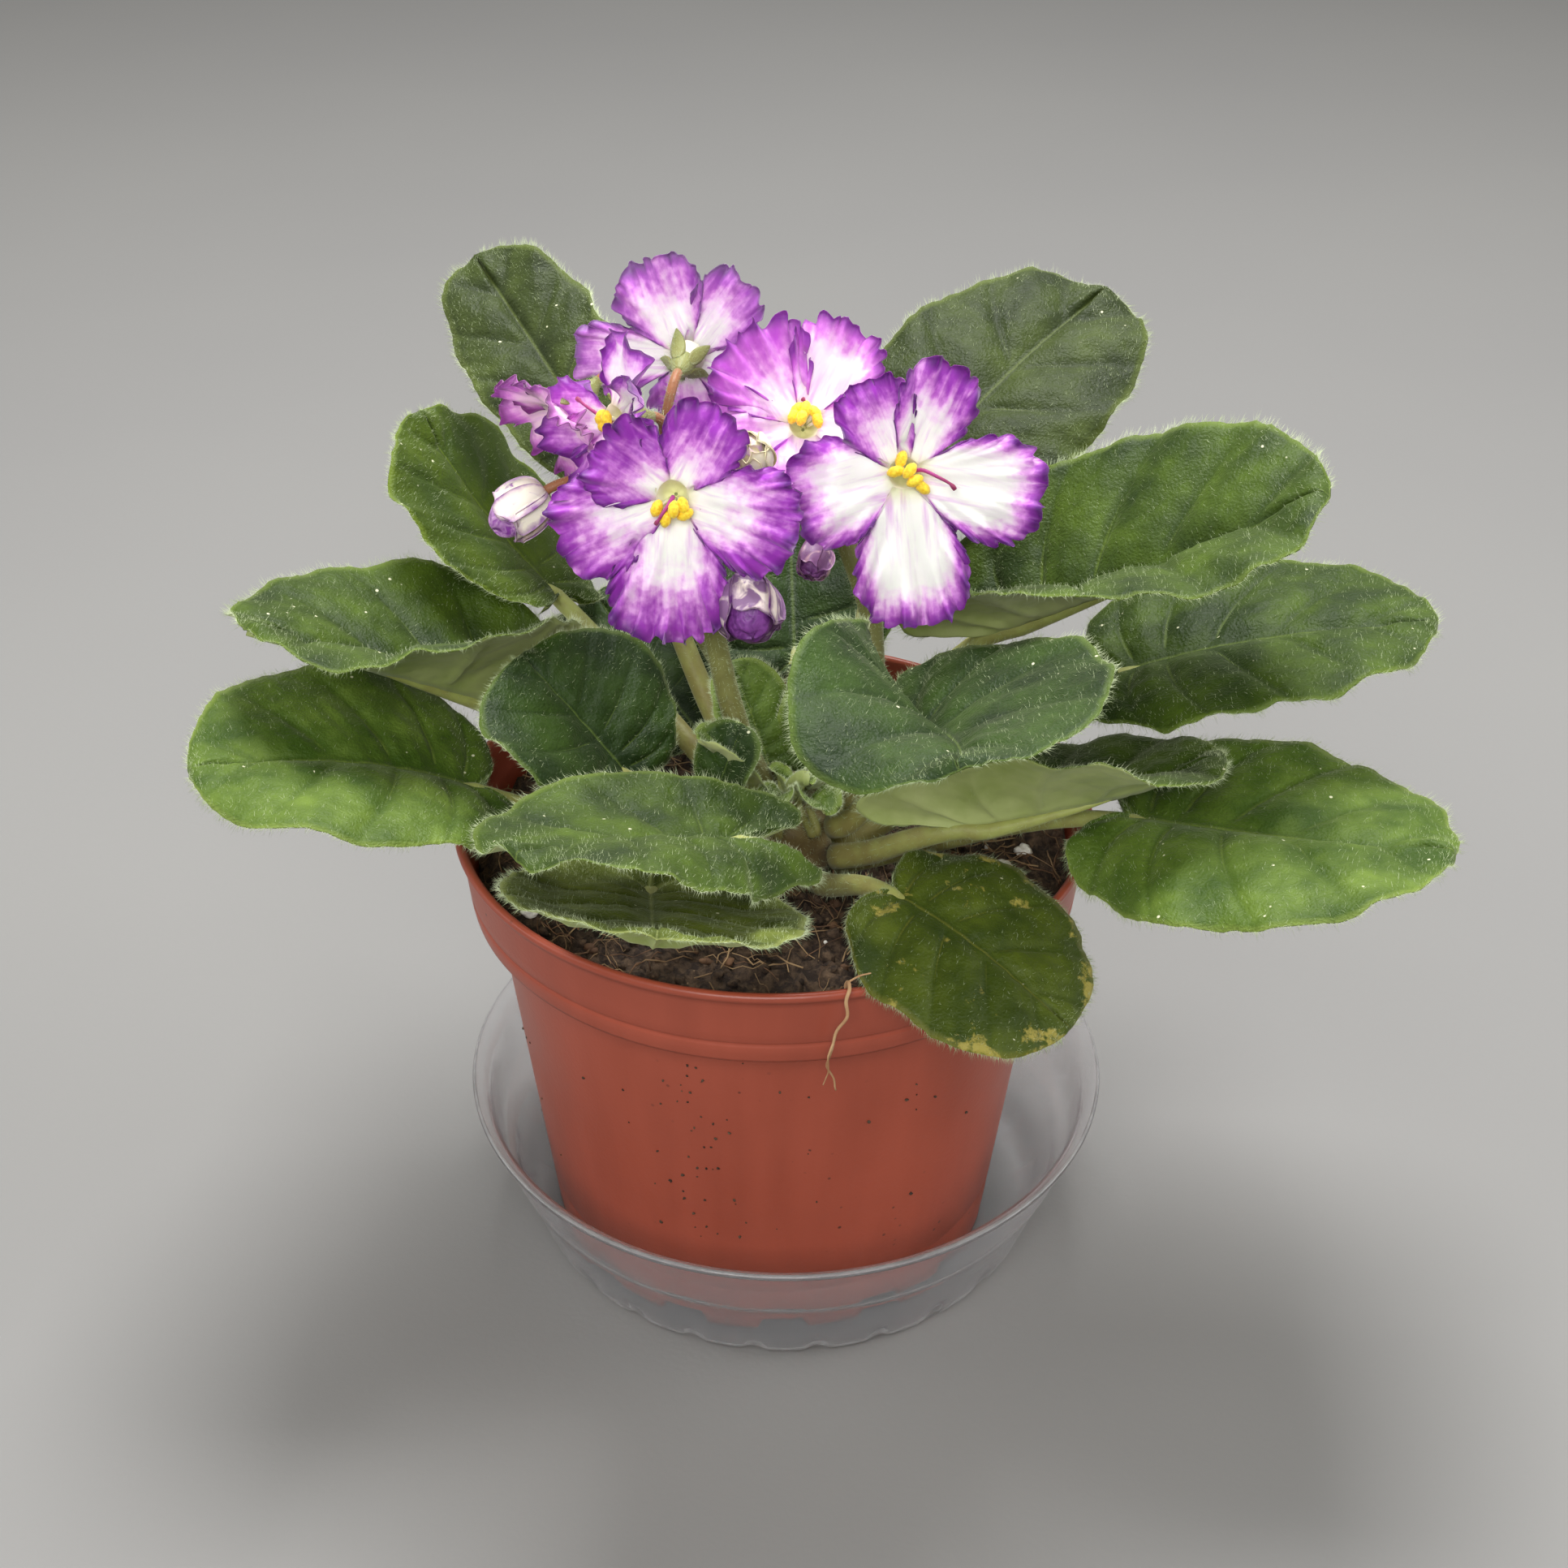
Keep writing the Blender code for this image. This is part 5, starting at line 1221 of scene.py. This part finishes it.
def build_pot():
    """Pot turned as one wall: ring of feet, tapered body, stepped collar with a groove, rolled rim."""
    flesh = Tissue(terracotta_plastic(), peat_surface())
    splash_peat(flesh, 1)
    around = np.linspace(0, 2 * math.pi, POT_STEPS, endpoint=False)
    pitch = 360.0 / NOTCHES
    off = (np.degrees(around) + 90 - NOTCH_START + pitch / 2) % pitch - pitch / 2
    notch = np.clip((NOTCH_ANGLE / 2 - np.abs(off)) / 1.2, 0, 1) * (FOOT_HEIGHT - 1.0)
    floor = FOOT_Z + FOOT_HEIGHT
    outer = []
    for z in (0.0, 0.5, 3.9, 4.6, 5.4, 10.6, 11.1, 11.5, 12.2, 24, 36, 48, 60, 70, 76.5, 77.6):
        z = FOOT_Z + z
        dent = 0.22 * math.exp(-((z - FOOT_Z - 11.2) / 0.5) ** 2)
        tuck = 0.35 if z - FOOT_Z < 0.2 else 0.0
        outer.append((wall_radius(z) - dent - tuck, z))
    outer[-1] = (BODY_TOP_R, COLLAR_Z)
    outer += [(COLLAR_R - 0.7, COLLAR_Z), (COLLAR_R - 0.15, COLLAR_Z + 0.2), (COLLAR_R, COLLAR_Z + 0.8)]
    for z in (81.0, 82.4, 82.8, 83.2, 83.6, 84.0, 86, 89, 92, 93.2):
        radius = COLLAR_R + (RIM_R - 0.9 - COLLAR_R) * (z - COLLAR_Z) / (RIM_Z - COLLAR_Z)
        outer.append((radius - 0.45 * math.exp(-((z - GROOVE_Z) / 0.35) ** 2), z))
    outer += [(RIM_R - 0.75, RIM_Z - 2.0), (RIM_R - 0.2, RIM_Z - 1.6), (RIM_R, RIM_Z - 1.0),
              (RIM_R - 0.12, RIM_Z - 0.35), (RIM_R - 0.6, RIM_Z), (RIM_R - 1.3, RIM_Z - 0.1),
              (RIM_R - 1.8, RIM_Z - 0.7)]
    inner = [(RIM_R - 2.1, 92.0), (RIM_R - 2.6, 88.0), (COLLAR_R - POT_WALL, COLLAR_Z + POT_WALL + 0.6),
             (COLLAR_R - POT_WALL - 0.6, COLLAR_Z + POT_WALL), (BODY_TOP_R - POT_WALL, COLLAR_Z + POT_WALL),
             (BODY_TOP_R - POT_WALL - 0.4, COLLAR_Z), (wall_radius(40.0) - POT_WALL, 40.0),
             (wall_radius(floor + 1) - POT_WALL, floor + POT_WALL + 1),
             (wall_radius(floor) - POT_WALL - 1.2, floor + POT_WALL)]
    under = [(FOOT_R - FOOT_RING, FOOT_Z), (FOOT_R - FOOT_RING, FOOT_Z + 0.5),
             (FOOT_R - FOOT_RING, floor - 0.6), (FOOT_R - FOOT_RING - 0.6, floor)]
    rows = []
    for r, z in under[::-1] + outer + inner:
        # each notch between two feet lifts the lower edge of the wall
        height = np.maximum(z, FOOT_Z + notch) if z < FOOT_Z + 3.9 else z
        # the wall is thin moulding, so it wanders a little out of round
        wander = 0.12 * np.sin(2 * around + 0.7) * np.clip(z / RIM_Z, 0, 1)
        rows.append(turned(r + wander, around, height))
    flesh.grid(np.stack(rows), 0, wrap=True, flip=True)
    add_pot_floor(flesh, around, under[-1][0], floor, True)
    add_pot_floor(flesh, around, inner[-1][0], floor + POT_WALL, False)
    for number in range(DRAIN_HOLES):
        turn = 2 * math.pi * number / DRAIN_HOLES
        hole = np.linspace(0, 2 * math.pi, 40, endpoint=False)
        x, y = DRAIN_RING * math.cos(turn), DRAIN_RING * math.sin(turn)
        bore = [turned(DRAIN_R, hole, z, x, y) for z in (floor, floor + POT_WALL)]
        flesh.grid(np.stack(bore), 0, wrap=True)
    return flesh.piece("pot", ["pot"], merge=0.01)


# peat splashed on the pot wall: bearing, spread of bearing, lowest, highest and number of crumbs
SPLASHES = ((-106, 5, 26, 82, 44), (-72, 26, 30, 86, 22), (70, 40, 24, 84, 26), (172, 40, 26, 88, 22))


def splash_peat(flesh, surface):
    """Crumbs of dried peat stuck to the outside of the wall."""
    rng = np.random.default_rng(SEED + 700)
    for bearing, spread, low, high, count in SPLASHES:
        for _ in range(count):
            turn = math.radians(bearing + rng.normal() * spread)
            z = rng.uniform(low, high)
            away = wall_radius(z) + 0.05
            add_lump(flesh, turned(away, turn, z), rng.uniform(0.14, 0.42), surface, rng)


def add_pot_floor(flesh, around, outer_r, z, faces_down):
    """One face of the pot's floor, its rings of points drawn round the drain holes."""
    sector = 2 * math.pi / DRAIN_HOLES
    turn = np.linspace(0, 2 * math.pi, DRAIN_HOLES * 40, endpoint=False)
    near = (turn + sector / 2) % sector - sector / 2
    reach = DRAIN_R * np.sqrt(np.clip(1 - (near / (DRAIN_R / DRAIN_RING)) ** 2, 0, 1))
    close = (0.01, DRAIN_RING - 6, DRAIN_RING - reach)
    far = (DRAIN_RING + reach, DRAIN_RING + 5, outer_r)
    for rings in (close, far):
        flesh.grid(np.stack([turned(r, turn, z) for r in rings]), 0, wrap=True, flip=faces_down)


# ---------------------------------------------------------------- saucer

def clear_plastic():
    """Thermoformed clear PET: thin, glossy, with fine scuffs that show as soft white streaks."""
    made, tree, place = surface("thermoformed_clear_pet", IOR=1.26, Transmission_Weight=0.91)
    scuff = add(tree, "TexNoise", {"Vector": place, "Scale": per_metre(9), "Detail": 6.0, "Roughness": 0.7,
                                   "Distortion": 0.6})
    gloss = add(tree, "MapRange", {"Value": scuff, 1: 0.45, 2: 0.75, 3: 0.03, 4: 0.22})
    return finish_surface(made, linear("#FBFBFC"), [(scuff, (), "#F2F3F5")], scuff, 0.05, Roughness=gloss)


SAUCER_WALL = 0.55  # thinner than the CAD solid's 0.9, as thin formed sheet looks clearer
SAUCER_FLANGE = 2.4
SAUCER_STEP_Z = 17.5
SAUCER_STEP_R = 57.5
SAUCER_BASE_R = 51.3
PIPS = 26


def build_saucer():
    """Thin saucer: flat base, a ring of pips at the wall's foot, sloped wall with a step, beaded flange."""
    flesh = Tissue(clear_plastic())
    around = np.linspace(0, 2 * math.pi, 312, endpoint=False)
    neck = SAUCER_R - SAUCER_FLANGE
    skin = [(0.01, 0.0), (30, 0.0), (SAUCER_BASE_R - 4.2, 0.0), (SAUCER_BASE_R - 2.2, 0.1),
            (SAUCER_BASE_R - 0.8, 0.5), (SAUCER_BASE_R, 1.6), (SAUCER_BASE_R + 1.3, 5.0),
            (SAUCER_BASE_R + 3.6, 12.0), (SAUCER_STEP_R - 1.5, SAUCER_STEP_Z - 1.0),
            (SAUCER_STEP_R - 1.1, SAUCER_STEP_Z - 0.4), (SAUCER_STEP_R - 0.1, SAUCER_STEP_Z - 0.1),
            (SAUCER_STEP_R + 0.2, SAUCER_STEP_Z + 0.8), (SAUCER_STEP_R + 1.2, 22.0),
            (neck - 0.9, SAUCER_Z - 4.0), (neck - 0.2, SAUCER_Z - 1.6), (neck + 0.3, SAUCER_Z - 0.9),
            (neck + 0.9, SAUCER_Z - 0.7), (SAUCER_R - 0.8, SAUCER_Z - 0.9), (SAUCER_R - 0.25, SAUCER_Z - 1.1)]
    skin = rounded(evenly(np.array(skin), 52), 1)
    ahead = unit(np.gradient(skin, axis=0))
    inward = np.stack([-ahead[:, 1], ahead[:, 0]], axis=1)
    top = skin + inward * SAUCER_WALL
    edge = [(SAUCER_R - 0.05, SAUCER_Z - 0.95), (SAUCER_R, SAUCER_Z - 0.5), (SAUCER_R - 0.25, SAUCER_Z - 0.1),
            (SAUCER_R - 0.7, SAUCER_Z)]
    profile = np.concatenate([skin, edge, top[::-1]])
    rows = []
    for r, z in profile:
        # each pip dents the wall's foot inwards and upwards
        pip = np.exp(-((r - SAUCER_BASE_R + 1.2) / 1.5) ** 2) if z < 7.0 else 0.0
        pips = pip * np.clip(np.cos(PIPS * around), 0, 1) ** 2
        wave = 0.12 * np.sin(3 * around + 1.0) * z / SAUCER_Z - 0.8 * pips
        height = np.clip(z + 0.9 * pips, 0.0, SAUCER_Z)
        rows.append(turned(r + wave, around, height, SAUCER_X, SAUCER_Y))
    flesh.grid(np.stack(rows), 0, wrap=True, flip=True)
    return flesh.piece("saucer", ["saucer"], merge=0.005)


# ---------------------------------------------------------------- soil, crown, root

def peat_surface():
    """Damp milled peat: nearly black, matt, crumbly, with lighter dry crumbs."""
    made, tree, place = surface("milled_peat", Roughness=0.92)
    crumb = add(tree, "TexNoise", {"Vector": place, "Scale": per_metre(2.2), "Detail": 5.0,
                                   "Roughness": 0.65})
    dust = add(tree, "TexVoronoi", {"Vector": place, "Scale": per_metre(1.9), "Randomness": 1.0})
    dust = add(tree, "MapRange", {"Value": dust, 1: 0.12, 2: 0.2, 3: 0.8, 4: 0.0})
    rare = add(tree, "TexNoise", {"Vector": place, "Scale": per_metre(4.0)})
    rare = add(tree, "MapRange", {"Value": rare, 1: 0.55, 2: 0.62})
    dust = add(tree, "Math", {0: dust, 1: rare}, operation="MULTIPLY")
    coats = [(crumb, (0.42, 0.72), "#6B5540"), (dust, (), "#8C7256")]
    return finish_surface(made, linear("#281B12"), coats, crumb, 1.1)


def fibre_surface(name, low, high):
    """Dry plant fibre: matt straw and bark tones, changing from piece to piece."""
    made, tree, place = surface(name, Roughness=0.8)
    tone = add(tree, "TexNoise", {"Vector": place, "Scale": per_metre(6.0), "Detail": 4.0})
    return finish_surface(made, linear(low), [(tone, (0.36, 0.64), high)], tone, 0.2)


def perlite_surface():
    """Expanded perlite: chalky off-white glass foam, pitted and stained by the peat."""
    made, tree, place = surface("expanded_perlite", Roughness=0.9)
    pit = add(tree, "TexVoronoi", {"Vector": place, "Scale": per_metre(0.8)})
    stain = add(tree, "TexNoise", {"Vector": place, "Scale": per_metre(1.8), "Detail": 3.0})
    return finish_surface(made, linear("#E6E2D8"), [(stain, (0.45, 0.75), "#A79A86")], pit, 0.3)


SOIL_REACH = 55.0
FIBRES = 520
LUMPS = 360
PEAT, STRAW, BARK, PERLITE = range(4)  # surfaces of the soil


def soil_height(x, y):
    """Uneven top of the potting soil, level round the crown, as in the CAD solid."""
    away = np.hypot(x - CROWN[0], y - CROWN[1])
    swell = 0.5 * np.sin(0.16 * x + 0.8) + 0.5 * np.sin(0.19 * y + 0.11 * x)
    return SOIL_Z + 1.6 * swell * (1 - np.exp(-(away / 26.0) ** 4))


def crumbled(x, y):
    """Soil top with its crumbs and hollows."""
    flat = np.stack([x, y], axis=-1)
    rough = (ripple(51, 9.0, flat) * 0.5 + ripple(52, 4.0, flat, 9) * 0.5 + ripple(53, 2.1, flat, 12) * 0.45
             + ripple(54, 1.2, flat, 12) * 0.25)
    return soil_height(x, y) + rough - 0.3


def soil_place(rng):
    """A place on the soil, as likely anywhere."""
    away = SOIL_REACH * np.sqrt(rng.uniform(0.02, 1, 1))
    turn = rng.uniform(0, 2 * math.pi, 1)
    return float((away * np.cos(turn))[0]), float((away * np.sin(turn))[0])


def add_lump(flesh, centre, radius, surface, rng, flat=0.7, lumps=0.22):
    """Small irregular crumb: a closed knobbly form, squashed and turned its own way."""
    ball = round_ball(8, 6)
    knobs = 1 + lumps * ripple(int(rng.integers(1e6)), 1.1, ball)
    ball = ball * knobs[..., None] * np.array((1.0, rng.uniform(0.6, 0.95), flat))
    turn = np.array(Matrix.Rotation(rng.uniform(0, 6.28), 3, Vector(unit(rng.normal(size=3)))))
    flesh.grid(np.asarray(centre) + (ball @ turn.T) * radius, surface, wrap=True, flip=True)


def build_soil():
    rng = np.random.default_rng(SEED + 900)
    flesh = Tissue(peat_surface(), fibre_surface("peat_fibre_straw", "#6A5036", "#AA8C64"),
                   fibre_surface("bark_chip", "#46301F", "#7C5A3E"), perlite_surface())
    around = np.linspace(0, 2 * math.pi, 220, endpoint=False)[None, :]
    away = np.linspace(0.01, RIM_R - POT_WALL - 2.7, 74)[:, None]
    x, y = away * np.cos(around), away * np.sin(around)
    sunk = -0.9 * smoothstep(52.0, 56.5, away)
    top = np.stack([x, y, crumbled(x, y) + sunk], axis=-1)
    floor = FOOT_Z + FOOT_HEIGHT + POT_WALL + GAP
    shelf = COLLAR_Z + POT_WALL + GAP
    side = [(COLLAR_R - POT_WALL - 0.5, shelf), (BODY_TOP_R - POT_WALL - 0.5, shelf),
            (wall_radius(floor) - POT_WALL - 0.5, floor), (0.01, floor)]
    rows = np.stack([turned(r, around[0], z) for r, z in side])
    flesh.grid(np.concatenate([top, rows]), 0, wrap=True)
    for number in range(FIBRES):
        x, y = soil_place(rng)
        length = rng.uniform(3, 15)
        turn = rng.uniform(0, 2 * math.pi)
        t = np.linspace(-0.5, 0.5, 7)
        bow = rng.uniform(-0.25, 0.25) * length
        px = x + length * t * math.cos(turn) - bow * (t * t * 4) * math.sin(turn)
        py = y + length * t * math.sin(turn) + bow * (t * t * 4) * math.cos(turn)
        near = np.minimum(1, 55.2 / np.maximum(np.hypot(px, py), 1))
        px, py = px * near, py * near
        pz = crumbled(px, py) + 0.5 + rng.uniform(0, 0.5) + rng.uniform(0, 1.6) * (t + 0.5)
        flesh.tube(np.stack([px, py, pz], axis=-1), rng.uniform(0.06, 0.18), 4, STRAW if number % 3 else BARK)
    for number in range(LUMPS):
        x, y = soil_place(rng)
        radius = rng.uniform(0.5, 1.5)
        kind = PERLITE if number % 14 == 0 else (BARK if number % 3 == 0 else PEAT)
        add_lump(flesh, (x, y, float(crumbled(np.array(x), np.array(y))) + radius * 0.25),
                 radius * (0.55 if kind == PERLITE else 1.0), kind, rng)
    return flesh.piece("soil", ["soil"])


# perlite grains: place on the soil and radius
GRAINS = [(42, -14, 2.0), (45, -22, 1.5), (47, -6, 1.7), (-44, -26, 1.6), (8, -52, 1.4)]


def build_perlite():
    for number, (x, y, radius) in enumerate(GRAINS):
        flesh = Tissue(perlite_surface())
        ball = round_ball(30, 18)
        knobs = 1 + 0.14 * ripple(960 + number, 1.2, ball) + 0.06 * ripple(970 + number, 0.5, ball)
        ball = ball * knobs[..., None] * np.array((1.0, 0.85, 0.8)) * 0.95
        place = np.array((x, y, float(soil_height(np.array(x), np.array(y))) + radius * 0.75))
        flesh.grid(place + ball * radius, 0, wrap=True, flip=True)
        name = "perlite_%d" % (number + 1)
        flesh.piece(name, [name])


YOUNG_LEAVES = [
    Leaf("young_1", (6.5, -17.5, 107), -75, 38, 11, 9.5, 3, bend=-35, fold=(35, 35), curl=(20, 20)),
    Leaf("young_2", (1.5, -18.0, 107), -110, 48, 9, 7.5, 3, bend=-45, fold=(40, 40), curl=(25, 25)),
    Leaf("young_3", (9.0, -13.0, 108), -10, 44, 14, 12, 3, bend=-20, fold=(28, 20), curl=(15, 15)),
    Leaf("young_4", (-3.5, -15.0, 108), 200, 58, 17, 15, 3, bend=-15, fold=(20, 24), curl=(12, 12)),
    Leaf("young_5", (-1.0, -8.0, 109), 130, 62, 20, 17, 3, bend=-12, fold=(14, 18), curl=(10, 10)),
    Leaf("young_6", (6.5, -8.0, 109), 62, 66, 18, 15, 3, bend=-16, fold=(18, 14), curl=(10, 10)),
    Leaf("young_7", (4.5, -15.0, 106), -60, 75, 7, 6, 3, bend=-40, fold=(45, 45), curl=(30, 30)),
    Leaf("young_8", (2.0, -13.5, 106), 150, 78, 6, 5, 3, bend=-30, fold=(45, 45), curl=(30, 30)),
]
YOUNG_PETIOLE_R = 0.9


def build_crown(skins, down, stem):
    """The short thick stem, scarred by shed leaves, with the curled youngest leaves on its top."""
    bark = stem_surface("crown_skin", "#5B4630", "#8B7A4C")
    flesh = Tissue(bark, down)
    around = np.linspace(0, 2 * math.pi, 72, endpoint=False)[None, :]
    up = np.linspace(0, 1, 44)[:, None]
    dome = np.where(up > 0.72, np.clip(1 - (up - 0.72) ** 2 / 0.082, 0, 1), 1.0)
    profile = CROWN_R * np.minimum(1, 0.86 + 0.5 * up) * np.sqrt(dome)
    bumps = 0.35 * np.sin(6 * around + 14 * up) * np.sin(9 * up) * (1 - up ** 3)
    height = SOIL_Z - 0.4 + (CROWN_TOP - SOIL_Z + 0.4) * up
    points = turned(np.maximum(profile - 0.3 + bumps, 0.01), around, height, CROWN[0], CROWN[1])
    flesh.grid(points, 0, wrap=True, flip=True, along=up)
    outward = unit(points - np.array((CROWN[0], CROWN[1], 96.0)))
    clothe(flesh, points, outward, CROWN_DOWN, 1, 880)
    flesh.piece("crown_stem", ["crown_stem"])
    for number, leaf in enumerate(YOUNG_LEAVES):
        leaf.seed = 3000 + 37 * number
        leaf.petiole = YOUNG_PETIOLE_R
        upper, lower = skins["fresh"]
        build_leaf(leaf, upper, lower, down, stem, [])


def build_root():
    """Dry root over the front of the rim, thin and kinked, forked near its end."""
    flesh = Tissue(fibre_surface("dry_root", "#9A6F4A", "#CDAB80"))
    front = -RIM_R - 0.9
    points = np.array([(12.6, -54.5, 90.5), (12.8, -57.0, 96.9), (13.0, front + 1.0, 97.2),
                       (12.2, front - 0.1, 92), (10.2, front + 0.2, 86.5), (9.4, front + 1.2, 80.5),
                       (11.2, front + 2.0, 74.5)])
    path = rounded(evenly(points, 60), 3)
    path[:, 0] += 0.25 * ripple(991, 6.0, path[:, 2:])
    flesh.tube(path, np.linspace(0.42, 0.16, 61), 8, 0)
    # side roots: the point that each leaves, its bends from there, its steps and its thickness
    forks = ((38, ((0, 0, 0), (-0.9, -0.1, -3.0), (-0.7, 0.2, -6.5), (-1.6, 0.9, -10.0)), 24, 0.24),
             (12, ((0, 0, 0), (2.0, 0.3, 1.2), (4.2, 1.6, 0.8), (5.4, 3.4, -0.6)), 20, 0.2))
    for start, bends, steps, radius in forks:
        side = rounded(evenly(path[start] + np.array(bends), steps), 2)
        flesh.tube(side, np.linspace(radius, 0.1, steps + 1), 7, 0)
    flesh.piece("hanging_root", ["hanging_root"])


# ---------------------------------------------------------------- floor, light and camera

CAMERA_PLACE = (0.0, -382.6, 348.9)
CAMERA_DOWN = 0.5782
CAMERA_YAW = 0.0052
CAMERA_ROLL = 0.0066
CAMERA_LENS = 55.9
CAMERA_SENSOR = 36.0
FLOOR_SIDE = 8000  # half the board's side
FLOOR_DROP = 0.2
# soft panels: name, place, side and power
PANELS = (("top_panel", (20, 340, 1050), 440, 12.8), ("left_panel", (-1000, 0, 540), 640, 2.8),
          ("right_panel", (1000, 0, 500), 640, 4.6), ("front_panel", (-120, -860, 760), 600, 7.6))
PANEL_AIM = (0, 0, 100)
STUDIO_GLOW = 0.22
EXPOSURE = 0.35


def build_floor():
    """Plain floor of pale painted board, matt with the faintest drift of tone."""
    made, tree, place = surface("painted_floor_board", Roughness=0.75)
    drift = add(tree, "TexNoise", {"Vector": place, "Scale": per_metre(260), "Detail": 3.0})
    grain = add(tree, "TexNoise", {"Vector": place, "Scale": per_metre(1.2), "Detail": 3.0})
    finish_surface(made, linear("#7B7A79"), [(drift, (), "#83827F")], grain, 0.05)
    side = FLOOR_SIDE * MM
    mesh = bpy.data.meshes.new("floor")
    mesh.from_pydata([(-side, -side, 0), (side, -side, 0), (side, side, 0), (-side, side, 0)], [],
                     [(0, 1, 2, 3)])
    mesh.materials.append(made)
    floor = new_object("floor", mesh)
    floor.location.z = CAD_BOX[0][2] - FLOOR_DROP * MM


def build_light():
    """Plain soft studio light: strongest from above and behind, then in front, and weak at both sides."""
    for name, place, size, power in PANELS:
        light = bpy.data.lights.new(name, "AREA")
        light.energy = power
        light.size = size * MM
        made = new_object(name, light)
        made.location = Vector(place) * MM
        made.rotation_euler = (Vector(PANEL_AIM) - Vector(place)).to_track_quat("-Z", "Y").to_euler()
    world = bpy.data.worlds.new("studio")
    world.use_nodes = True
    background = world.node_tree.nodes["Background"]
    background.inputs["Color"].default_value = linear("#FAF9F5")
    background.inputs["Strength"].default_value = STUDIO_GLOW
    bpy.context.scene.world = world
    bpy.context.scene.view_settings.view_transform = "Standard"
    bpy.context.scene.view_settings.exposure = EXPOSURE


def build_camera():
    yaw, down, roll = CAMERA_YAW, CAMERA_DOWN, CAMERA_ROLL
    ahead = Vector((math.sin(yaw) * math.cos(down), math.cos(yaw) * math.cos(down), -math.sin(down)))
    level = Vector((math.cos(yaw), -math.sin(yaw), 0))
    up = level.cross(ahead)
    right = level * math.cos(roll) + up * math.sin(roll)
    above = up * math.cos(roll) - level * math.sin(roll)
    lens = bpy.data.cameras.new("camera")
    lens.sensor_width = CAMERA_SENSOR
    lens.lens = CAMERA_LENS
    camera = new_object("camera", lens)
    turn = Matrix((right, above, -ahead)).transposed()
    camera.matrix_world = Matrix.Translation(Vector(CAMERA_PLACE) * MM) @ turn.to_4x4()
    bpy.context.scene.camera = camera


build_pot()
build_saucer()
build_soil()
build_perlite()
build_root()
leaf_skins, down, petiole_skin = build_leaves()
build_crown(leaf_skins, down, petiole_skin)
build_flowers(down)
build_floor()
build_light()
build_camera()
